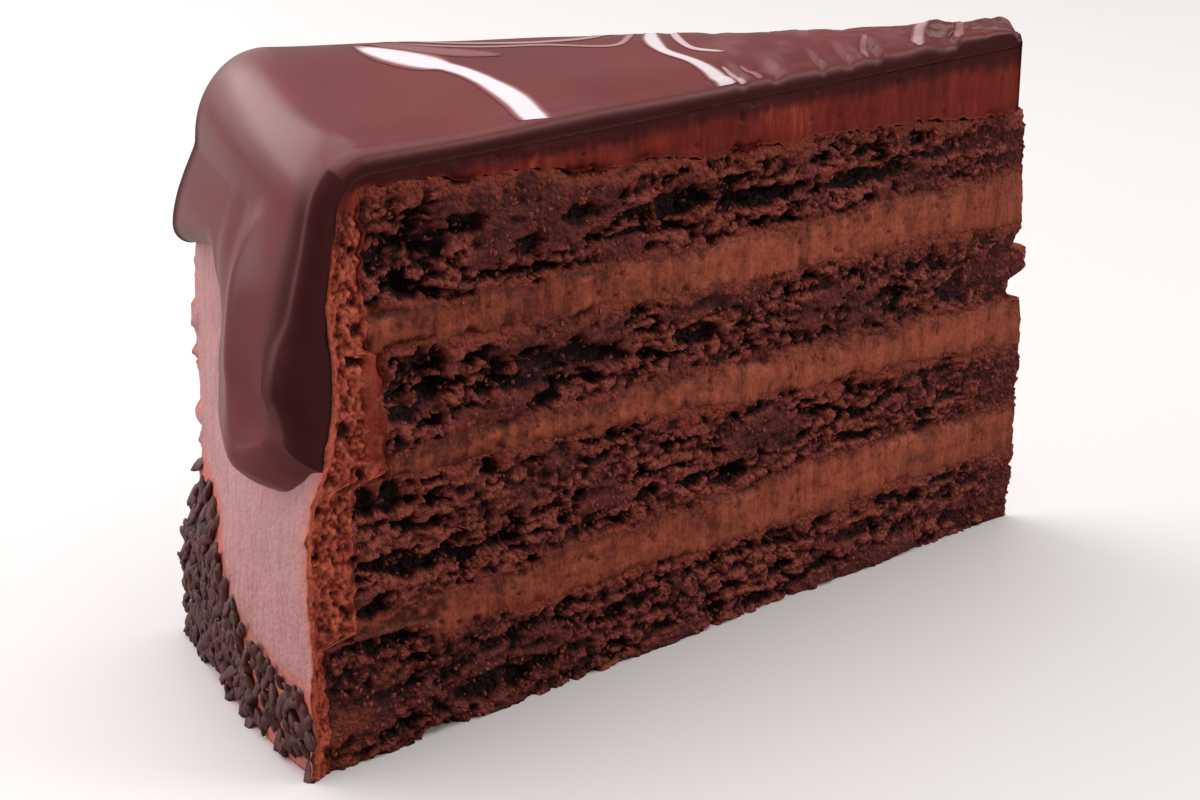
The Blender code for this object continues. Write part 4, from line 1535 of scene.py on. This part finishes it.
    def build(self, material: bpy.types.Material) -> bpy.types.Object:
        """The glaze as one closed mesh.

        Args:
            material: its finish.

        Returns:
            The new object.
        """
        flat, turn, down = self.stations
        on_rim = 2 + (1 - (1 - np.linspace(0, 1, down + 1)[1:]) ** 1.5)
        place_on = np.concatenate([np.linspace(0, 1, flat + 1), np.linspace(1, 2, turn + 1)[1:], on_rim])
        even = np.linspace(0, 1, self.columns)
        across = 0.35 * even + 0.65 * (0.5 - 0.5 * np.cos(math.pi * even))
        place_on, across = np.meshgrid(place_on, across, indexing="ij")
        foot = along(self.foot, across * SHAPE.width)
        inner = SHAPE.offset(place_on, np.full(across.shape, self.gap), across, foot)
        thickness = self._thickness(place_on, across, inner, foot)
        outer = self._settled(SHAPE.offset(place_on, self.gap + thickness, across, foot), place_on)
        share = 1 - (1 - np.linspace(0, 1, self.through)) ** 1.4
        section = inner[:, :, None] + (outer - inner)[:, :, None] * share[None, None, :, None]
        radius, height = section[..., 0], section[..., 1]
        spread = np.broadcast_to(across[:, :, None], radius.shape)
        thick = np.linalg.norm(outer - inner, axis=-1)[:, :, None]
        under = thick * (1 - share)[None, None, :]
        width = np.maximum(radius * SHAPE.angle, 0.2)
        wanted = self.cut_round + 2.0 * smoothstep(1.8, 2.3, place_on)[..., None]
        bend = np.minimum(np.minimum(wanted, 0.8 * thick), 0.3 * width)
        turned = np.clip(1 - under / np.maximum(bend, 0.01), 0.0, 1.0)
        drawn_in = bend * (1 - np.sqrt(np.maximum(0.0, 1 - turned * turned)))
        centred = 1 - 2 * drawn_in / width
        depth, cut = np.zeros(radius.shape), np.zeros(radius.shape)
        for side, b in CUTS:
            grain = Grain(41 + side.value)
            r, z = radius[:, b], height[:, b]
            sunk = 0.32 + 0.14 * grain.rough(r / 6.0, z / 9.0) + 0.06 * grain.rough(r / 1.2, z / 7.0)
            held = bell(thick[:, b] * share, 0.9) * smoothstep(2.2, 2.0, place_on[:, b, None])
            sunk = sunk + (self.relief.edge_depth(GLAZE_EDGE, side, SHAPE.reach - r) - sunk) * held
            depth[:, b] = self.relief.limited(sunk * (1 - turned[:, b]) + 0.05 * turned[:, b], r)
            # Painted shade on the cut side, its rounded top edge and the drip's near edge; the cut is also
            # made matte.
            on_top = (place_on[:, b, None] <= self.top_ends) * 1.0
            lower = smoothstep(1.02, 0.9, turned[:, b]) * (1 - on_top)
            cut[:, b] = smoothstep(0.72, 0.1, turned[:, b]) * on_top + lower
        at_edge = smoothstep(4.6, 0.3, np.minimum(across, 1 - across) * width[:, :, -1])
        painted_edge_shade = at_edge * smoothstep(1.3, 2.0, place_on) * (1 - 0.5 * smoothstep(58, 45, height[..., -1]))
        cut[..., -1] = np.maximum(cut[..., -1] * (place_on > self.top_ends), painted_edge_shade)
        spread = 0.5 + (spread - 0.5) * centred
        milk = np.zeros(radius.shape)
        # Faint pink streaks on the top towards the tip: partly milk, partly painted sheen.
        streaks = smoothstep(-0.1, 0.6, Grain(45).rough(radius[..., -1] / 6.0, across * 3.0))
        milk[..., -1] = 0.17 * streaks * smoothstep(68, 48, radius[..., -1]) * (place_on <= 1)
        attributes = {Zone.CUT: cut, Zone.MILK: milk}
        mesh = Lattice(SHAPE.place(radius, spread, height, depth), attributes).mesh("poured_glaze")
        return Piece("poured_glaze", "glaze", ("glaze",)).add(mesh, material)

    def _settled(self, outer: np.ndarray, place_on: np.ndarray) -> np.ndarray:
        """The outside with its crease below the shoulder melted away.

        Args:
            outer: points (radius, height) of the outside.
            place_on: their places on the coat's outline.

        Returns:
            The softened points.
        """
        soft = outer.copy()
        for _ in range(self.settle):
            soft[1:-1] = 0.25 * soft[:-2] + 0.5 * soft[1:-1] + 0.25 * soft[2:]
        share = (smoothstep(1.0, 1.5, place_on) * smoothstep(2.75, 2.4, place_on))[..., None]
        return outer + (soft - outer) * share


@dataclass(frozen=True)
class Stroke:
    """One trail of milk chocolate.

    Its points are (along the near cut, into the slice, width), and strength says how white it is.
    """

    points: tuple[tuple[float, float, float], ...]
    strength: float = 1.0


@dataclass
class MilkSwirls:
    """Milk chocolate trailed through the wet glaze."""

    glaze: bpy.types.Object
    lift: float = 0.05
    steps: int = 90
    sides: int = 12
    strokes: tuple[Stroke, ...] = (
        Stroke(((29.8, 33.2, 0.4), (30.4, 29.4, 4.0), (31.9, 25.6, 6.2), (33.9, 22.0, 5.4), (35.5, 19.0, 3.4),
                (36.2, 15.2, 3.3), (36.1, 11.4, 3.6), (35.6, 5.0, 4.2), (35.2, 1.2, 4.4))),
        Stroke(((33.6, 40.9, 0.6), (35.5, 35.2, 1.0), (40.8, 29.5, 1.2), (46.7, 25.6, 1.2), (53.5, 22.4, 1.2),
                (60.8, 21.5, 1.4), (69.0, 24.9, 1.2), (73.5, 27.2, 1.2)), 0.55),
        Stroke(((33.1, 33.2, 0.5), (39.6, 27.7, 0.9), (46.2, 23.5, 1.0), (52.5, 21.2, 1.0), (56.5, 18.5, 0.9),
                (61.2, 16.5, 0.9), (65.4, 18.9, 1.0), (73.5, 26.6, 1.2)), 0.5),
        Stroke(((31.8, 33.2, 1.2), (37.0, 26.6, 3.4), (41.0, 23.0, 3.0), (44.4, 20.0, 1.0)), 0.26),
        Stroke(((76.5, 25.6, 1.2), (69.8, 19.3, 1.8), (67.0, 15.6, 2.6), (65.7, 11.9, 2.0), (66.5, 8.1, 1.8),
                (66.9, 4.1, 2.8), (67.4, 0.8, 3.6)), 0.85),
        Stroke(((79.0, 24.6, 1.1), (74.1, 19.5, 1.2), (70.8, 14.7, 1.4), (69.9, 11.3, 1.3), (71.5, 9.0, 1.0),
                (73.3, 7.6, 0.5)), 0.72),
        Stroke(((69.4, 4.4, 0.8), (69.8, 2.6, 1.2), (70.2, 0.8, 1.4)), 0.6),
        Stroke(((72.0, 3.6, 0.5), (72.6, 2.2, 0.9), (73.4, 0.8, 1.0)), 0.4),
        Stroke(((42.0, 36.6, 0.8), (43.2, 36.6, 2.0), (44.8, 36.0, 1.2)), 1.0),
        Stroke(((112.5, 5.6, 0.8), (107.5, 3.8, 1.4), (104.0, 1.0, 2.0)), 0.55),
        Stroke(((118.5, 4.4, 0.6), (115.5, 3.2, 1.0), (112.5, 0.8, 1.4)), 0.4),
        Stroke(((97.0, 4.6, 0.5), (95.4, 3.4, 0.9), (93.4, 1.0, 1.2)), 0.3),
    )

    def _ribbon(self, stroke: Stroke) -> tuple[np.ndarray, np.ndarray]:
        """Points and milk values of one trail, lying on the glaze.

        Args:
            stroke: the trail.

        Returns:
            A grid of points in metres and a grid of values from 0 to 1.
        """
        knots = np.linspace(0, 1, len(stroke.points))
        t = np.linspace(0, 1, self.steps)
        columns = [cubic(knots, column, t) for column in np.array(stroke.points, float).T]
        path = np.stack(columns[:2], axis=-1)
        for _ in range(30):
            path[1:-1] = 0.25 * path[:-2] + 0.5 * path[1:-1] + 0.25 * path[2:]
        run = np.gradient(path, axis=0)
        run /= np.linalg.norm(run, axis=1, keepdims=True)
        square = np.stack([-run[:, 1], run[:, 0]], axis=-1)
        s = np.linspace(-1, 1, self.sides + 1)
        waver = 1 + 0.12 * Grain(61).rough(t * 9 + stroke.points[0][0], t * 0)
        open_end = stroke.points[-1][1] < 1.5
        ends = smoothstep(0.0, 0.12, t) * (1.0 if open_end else smoothstep(1.0, 0.88, t))
        half = 0.62 * columns[2] * waver
        flat = path[:, None] + square[:, None] * (s[None, :] * half[:, None])[..., None]
        away = SHAPE.reach - flat[..., 0]
        radius = np.hypot(away, flat[..., 1])
        least = 0.9 / (radius * SHAPE.angle)
        across = np.clip(np.arctan2(flat[..., 1], away) / SHAPE.angle, least, 1 - least)
        points = SHAPE.place(radius, across, 100.0)
        tree = BVHTree.FromPolygons(
            [v.co for v in self.glaze.data.vertices], [face.vertices[:] for face in self.glaze.data.polygons]
        )
        down = Vector((0.0, 0.0, -1.0))
        for index in np.ndindex(points.shape[:2]):
            place, normal, _, _ = tree.ray_cast(Vector(points[index]), down)
            if place is not None:
                points[index] = place + normal * self.lift * MM
        milk = smoothstep(1.0, 0.45, np.abs(s))[None, :] * np.sqrt(ends)[:, None] * stroke.strength
        return points, milk

    def build(self, material: bpy.types.Material) -> bpy.types.Object:
        """All the trails as one mesh.

        Args:
            material: the glaze's finish, which reads the milk values.

        Returns:
            The new object.
        """
        vertices, faces, values = [], [], []
        for stroke in self.strokes:
            points, milk = self._ribbon(stroke)
            numbers = np.arange(milk.size).reshape(milk.shape) + sum(len(part) for part in vertices)
            quads = quads_of(numbers).reshape(-1, 4)
            corner = points.reshape(-1, 3)[quads - numbers[0, 0]]
            rise = np.cross(corner[:, 1] - corner[:, 0], corner[:, 2] - corner[:, 0])[:, 2].sum()
            faces.append(quads if rise > 0 else quads[:, ::-1])
            vertices.append(points.reshape(-1, 3))
            values.append(milk.ravel())
        mesh = bpy.data.meshes.new("milk_swirls")
        mesh.from_pydata(np.concatenate(vertices).tolist(), [], np.concatenate(faces).tolist())
        write_zone(mesh, Zone.MILK, np.concatenate(values))
        mesh.shade_smooth()
        return Piece("milk_swirls", "glaze").add(mesh, material)


class Chip(Enum):
    """The shapes that are scattered."""

    FLAKE = "flake"
    CRUMB = "crumb"


@dataclass
class Scatter:
    """A Geometry Nodes tree that scatters small chips over a host's faces."""

    name: str
    seed: int
    density: float
    zone: Zone
    size: tuple[Colour, Colour]
    tilt: float
    swing: float
    dent: float
    chip: Chip

    def _shape(self, sketch: NodeSketch) -> bpy.types.NodeSocket:
        """The single chip, one unit across in each direction.

        Args:
            sketch: the tree.

        Returns:
            Its geometry.
        """
        kind, rounds = "GeometryNodeMeshUVSphere", {"Segments": 8, "Rings": 6, "Radius": 0.5}
        if self.chip is Chip.CRUMB:
            kind, rounds = "GeometryNodeMeshIcoSphere", {"Radius": 0.5, "Subdivisions": 1}
        return sketch.node(kind, rounds).outputs["Mesh"]

    def _tree(self, material: bpy.types.Material) -> bpy.types.NodeTree:
        """The tree, from its named inputs to realized chips with their finish.

        Args:
            material: the chips' finish.

        Returns:
            The tree.
        """
        tree = bpy.data.node_groups.new(self.name, "GeometryNodeTree")
        face = tree.interface
        face.new_socket("Geometry", in_out="INPUT", socket_type="NodeSocketGeometry")
        for key, kind in (
            ("Density", "Float"), ("Smallest", "Vector"), ("Largest", "Vector"), ("Tilt", "Float"),
            ("Swing", "Float"), ("Dent", "Float"), ("Seed", "Int"),
        ):
            face.new_socket(key, in_out="INPUT", socket_type=f"NodeSocket{kind}")
        face.new_socket("Geometry", in_out="OUTPUT", socket_type="NodeSocketGeometry")
        sketch = NodeSketch(tree)
        start, end = sketch.node("NodeGroupInput"), sketch.node("NodeGroupOutput")
        zone = sketch.node("GeometryNodeInputNamedAttribute", {"Name": self.zone.value}, data_type="FLOAT")
        spread = sketch.times(zone.outputs[0], start.outputs["Density"])
        points = sketch.node(
            "GeometryNodeDistributePointsOnFaces",
            {"Mesh": start.outputs["Geometry"], "Density": spread, "Seed": start.outputs["Seed"]},
            distribute_method="RANDOM",
        )
        outwards = sketch.node(
            "FunctionNodeAlignRotationToVector", {"Vector": points.outputs["Normal"]}, axis="Z"
        )
        upright = sketch.node(
            "FunctionNodeAlignRotationToVector",
            {"Rotation": outwards.outputs[0], "Vector": (0.0, 0.0, 1.0)}, axis="X", pivot_axis="Z",
        )
        scale = sketch.node(
            "FunctionNodeRandomValue",
            {0: start.outputs["Smallest"], 1: start.outputs["Largest"], "Seed": start.outputs["Seed"]},
            data_type="FLOAT_VECTOR",
        )
        signed = []
        for sign in (-1.0, 1.0):
            tilt = sketch.times(start.outputs["Tilt"], sign)
            swing = sketch.times(start.outputs["Swing"], sign)
            signed.append(sketch.node("ShaderNodeCombineXYZ", {0: tilt, 1: tilt, 2: swing}).outputs[0])
        lean = sketch.node(
            "FunctionNodeRandomValue", {0: signed[0], 1: signed[1], "Seed": start.outputs["Seed"]},
            data_type="FLOAT_VECTOR",
        )
        stood = sketch.node(
            "GeometryNodeInstanceOnPoints",
            {"Points": points.outputs["Points"], "Instance": self._shape(sketch),
             "Rotation": upright.outputs[0], "Scale": scale.outputs[0]},
        )
        turned = sketch.node(
            "GeometryNodeRotateInstances", {"Instances": stood.outputs[0], "Rotation": lean.outputs[0]}
        )
        real = sketch.node("GeometryNodeRealizeInstances", {0: turned.outputs[0]})
        place = sketch.node("GeometryNodeInputPosition").outputs[0]
        dented = sketch.node("ShaderNodeTexNoise", {"Vector": place, "Scale": 620.0, "Detail": 1.0})
        level = {0: dented.outputs["Color"], 1: (0.5, 0.5, 0.5)}
        centred = sketch.node("ShaderNodeVectorMath", level, operation="SUBTRACT")
        shift = sketch.node("ShaderNodeVectorMath", {0: centred.outputs[0]}, operation="SCALE")
        tree.links.new(start.outputs["Dent"], shift.inputs["Scale"])
        moved = {"Geometry": real.outputs[0], "Offset": shift.outputs[0]}
        ragged = sketch.node("GeometryNodeSetPosition", moved)
        closed = {"Geometry": ragged.outputs[0], "Material": material}
        finished = sketch.node("GeometryNodeSetMaterial", closed)
        tree.links.new(finished.outputs[0], end.inputs[0])
        return tree

    def run(self, host: bpy.types.Mesh, material: bpy.types.Material) -> bpy.types.Mesh:
        """Scatters over a host and returns the chips alone.

        Args:
            host: mesh that carries the zone's attribute.
            material: the chips' finish.

        Returns:
            The chips as one plain mesh.
        """
        obj = linked(f"{self.name}_host", host)
        modifier = obj.modifiers.new("Scatter", "NODES")
        modifier.node_group = self._tree(material)
        values = {
            "Density": self.density, "Smallest": [part * MM for part in self.size[0]],
            "Largest": [part * MM for part in self.size[1]], "Tilt": self.tilt, "Swing": self.swing,
            "Dent": self.dent * MM, "Seed": self.seed,
        }
        for item in modifier.node_group.interface.items_tree:
            if item.in_out == "INPUT" and item.name in values:
                modifier[item.identifier] = values[item.name]
        graph = bpy.context.evaluated_depsgraph_get()
        made = bpy.data.meshes.new_from_object(obj.evaluated_get(graph))
        bpy.data.objects.remove(obj)
        made.name = self.name
        places = np.empty(len(made.vertices) * 3, np.float32)
        made.vertices.foreach_get("co", places)
        places[2::3] = np.maximum(places[2::3], 0.0)
        made.vertices.foreach_set("co", places)
        made.shade_smooth()
        return made


@dataclass
class RimFlakes:
    """Chocolate flakes pressed into the foot of the rim, thickest at its far corner."""

    upper_edge: Table = ((0, 12.5), (20, 14.0), (27, 17.5), (35, 26.0), (50, 28.0))
    fade: float = 3.0
    near_clear: float = 1.6
    lift: float = 0.45
    density: float = 360000.0
    far_lift: float = 0.8

    def _host(self) -> bpy.types.Mesh:
        """A patch of the rim with the flakes' density.

        Returns:
            The patch.
        """
        run, rise = np.linspace(0, SHAPE.width, 90), np.linspace(0.4, 34, 60)
        distance, height = np.meshgrid(run, rise, indexing="ij")
        across = distance / SHAPE.width
        lift = self.lift + self.far_lift * smoothstep(0.6, 1.0, across) * smoothstep(24, 10, height)
        points = SHAPE.place(SHAPE.rim(height, across) + lift, across, height)
        top = along(self.upper_edge, distance) + 1.6 * Grain(5).rough(distance / 3.0, height / 3.0)
        zone = smoothstep(0.0, -self.fade, height - top) * smoothstep(0.4, self.near_clear, distance)
        numbers = np.arange(distance.size).reshape(distance.shape)
        quads = np.stack([numbers[:-1, :-1], numbers[:-1, 1:], numbers[1:, 1:], numbers[1:, :-1]], axis=-1)
        mesh = bpy.data.meshes.new("flake_host")
        mesh.from_pydata(points.reshape(-1, 3).tolist(), [], quads.reshape(-1, 4).tolist())
        write_zone(mesh, Zone.FLAKES, zone)
        return mesh

    def build(self, material: bpy.types.Material) -> bpy.types.Object:
        """The flakes as one mesh.

        Args:
            material: their finish.

        Returns:
            The new object.
        """
        size = ((2.5, 1.3, 0.7), (4.9, 2.1, 1.2))
        scatter = Scatter(
            "flakes", 4, self.density, Zone.FLAKES, size, tilt=0.55, swing=0.8, dent=0.9, chip=Chip.FLAKE
        )
        mesh = scatter.run(self._host(), material)
        return Piece("chocolate_flakes", "frosting").add(mesh)


@dataclass
class LooseCrumbs:
    """Crumbs that cling to the torn sponge."""

    layers: list[bpy.types.Object]
    density: float = 260000.0

    def build(self, material: bpy.types.Material) -> bpy.types.Object:
        """The crumbs of all the sponges as one mesh.

        Args:
            material: the sponge's finish.

        Returns:
            The new object.
        """
        parts = []
        for k, layer in enumerate(self.layers):
            host = layer.data.copy()
            pit_shading = np.zeros(len(host.vertices), np.float32)
            host.attributes[Zone.PIT_SHADE.value].data.foreach_get("value", pit_shading)
            write_zone(host, Zone.CRUMB, np.where(pit_shading > 0, 1.0 - 0.7 * pit_shading, 0.0))
            size = ((0.3, 0.3, 0.25), (1.1, 0.9, 0.7))
            scatter = Scatter(
                f"crumbs_{k}", 20 + k, self.density, Zone.CRUMB, size, tilt=1.2, swing=3.1, dent=0.3,
                chip=Chip.CRUMB,
            )
            parts.append(scatter.run(host, material))
        vertices, faces = [], []
        for part in parts:
            count = sum(len(group) for group in vertices)
            places = np.empty(len(part.vertices) * 3, np.float32)
            part.vertices.foreach_get("co", places)
            vertices.append(places.reshape(-1, 3))
            faces.extend([[count + v for v in face.vertices] for face in part.polygons])
        mesh = bpy.data.meshes.new("crumbs")
        mesh.from_pydata(np.concatenate(vertices).tolist(), [], faces)
        return Piece("loose_crumbs", "sponge").add(mesh, material)


@dataclass
class Studio:
    """The table, the lights and the camera."""

    camera_place: tuple[float, float, float] = (-155.83, -268.17, 149.67)
    azimuth: float = math.radians(-28.916)
    elevation: float = math.radians(20.782)
    lens: float = 70.0
    floor_size: float = 30.0
    world: float = 0.30

    def _floor(self, material: bpy.types.Material) -> None:
        """A wide table under the slice.

        Args:
            material: its finish.
        """
        half = self.floor_size / 2
        mesh = bpy.data.meshes.new("table")
        corners = [(-half, -half, 0), (half, -half, 0), (half, half, 0), (-half, half, 0)]
        mesh.from_pydata(corners, [], [(0, 1, 2, 3)])
        mesh.materials.append(material)
        linked("table", mesh)

    @staticmethod
    def _softbox(
        name: str, place: Colour, aim: Colour, size: tuple[float, float], power: float, tint: Colour
    ) -> None:
        """A soft rectangular light.

        Args:
            name: the light's name.
            place: where it hangs, in metres.
            aim: what it faces.
            size: its width and height.
            power: its strength in watts.
            tint: its colour.
        """
        light = bpy.data.lights.new(name, "AREA")
        light.shape = "RECTANGLE"
        light.size, light.size_y = size
        light.energy = power
        light.color = tint
        obj = linked(name, light)
        obj.location = place
        obj.rotation_euler = (Vector(aim) - Vector(place)).to_track_quat("-Z", "Y").to_euler()

    def _camera(self) -> None:
        """The camera of the photograph."""
        data = bpy.data.cameras.new("camera")
        data.lens = self.lens
        data.sensor_width = 36.0
        data.clip_start, data.clip_end = 0.01, 100.0
        camera = linked("camera", data)
        a, e = self.azimuth, self.elevation
        back = Vector((math.sin(a) * math.cos(e), -math.cos(a) * math.cos(e), math.sin(e)))
        right = Vector((math.cos(a), math.sin(a), 0.0))
        turned = Matrix((right, back.cross(right), back)).transposed()
        camera.matrix_world = Matrix.Translation(Vector(self.camera_place) * MM) @ turned.to_4x4()
        bpy.context.scene.camera = camera

    def build(self, material: bpy.types.Material) -> None:
        """Sets the table, the lights, the sky and the camera.

        Args:
            material: the table's finish.
        """
        self._floor(material)
        self._softbox("key", (-0.42, 0.75, 0.62), (-0.02, 0.0, 0.05), (0.9, 0.7), 5.0, (1.0, 0.97, 0.96))
        self._softbox("overhead", (0.1, 0.05, 1.1), (0.0, 0.0, 0.0), (1.4, 1.2), 10.0, (1.0, 0.98, 0.97))
        self._softbox("left", (-0.95, 0.15, 0.35), (-0.06, 0.0, 0.045), (0.7, 0.6), 3.3, (0.99, 0.96, 1.0))
        self._softbox("behind", (-0.30, 1.10, 0.30), (-0.04, 0.0, 0.05), (1.5, 0.45), 1.0, (0.97, 0.97, 1.0))
        self._softbox("front", (0.95, -0.62, 0.5), (0.05, 0.0, 0.05), (0.5, 0.5), 3.6, (1.0, 0.96, 0.93))
        world = bpy.data.worlds.new("sky")
        world.use_nodes = True
        background = world.node_tree.nodes["Background"]
        background.inputs["Color"].default_value = (1.0, 0.99, 0.985, 1.0)
        background.inputs["Strength"].default_value = self.world
        bpy.context.scene.world = world
        bpy.context.scene.view_settings.view_transform = "Standard"
        self._camera()


def main() -> None:
    """Builds every piece in order, then the studio, and notes the sizes."""
    logging.basicConfig(level=logging.INFO, format="%(name)s %(message)s")
    effects = Effects()
    sponge = SpongeFinish("torn_sponge", roughness=0.62, specular=0.17, bump=1.0, bump_depth=0.0005)
    cream = CreamFinish("smeared_cream", roughness=0.5, specular=0.16, bump=0.6, bump_depth=0.0003)
    frosting = FrostingFinish("spread_frosting", roughness=0.46, specular=0.35, bump=0.5, bump_depth=0.0002)
    glaze = GlazeFinish("satin_glaze", roughness=0.31, specular=0.38, bump=0.2, bump_depth=0.0002)
    flakes = FlakeFinish("dark_flakes", roughness=0.42, specular=0.38, bump=0.4, bump_depth=0.0002)
    sponge_material = sponge.build(effects)
    cream_material = cream.build(effects)
    glaze_material = glaze.build()
    radii = {"sponge_1": 129.9, "filling_1": 125.0, "sponge_2": 125.0, "filling_2": 119.5,
             "sponge_3": 119.5, "filling_3": 122.0, "sponge_4": 122.0}
    sponges = []
    for index, (name, radius) in enumerate(radii.items()):
        layer = CakeLayer(index, name, radius)
        made = layer.build(sponge_material if layer.is_sponge else cream_material)
        if layer.is_sponge:
            sponges.append(made)
    FrostingCoat().build(frosting.build(effects))
    poured = Glaze().build(glaze_material)
    MilkSwirls(poured).build(glaze_material)
    RimFlakes().build(flakes.build())
    LooseCrumbs(sponges).build(sponge_material)
    Studio().build(FloorFinish("pale_table", roughness=0.4, specular=0.3).build())


if __name__ == "__main__":
    main()
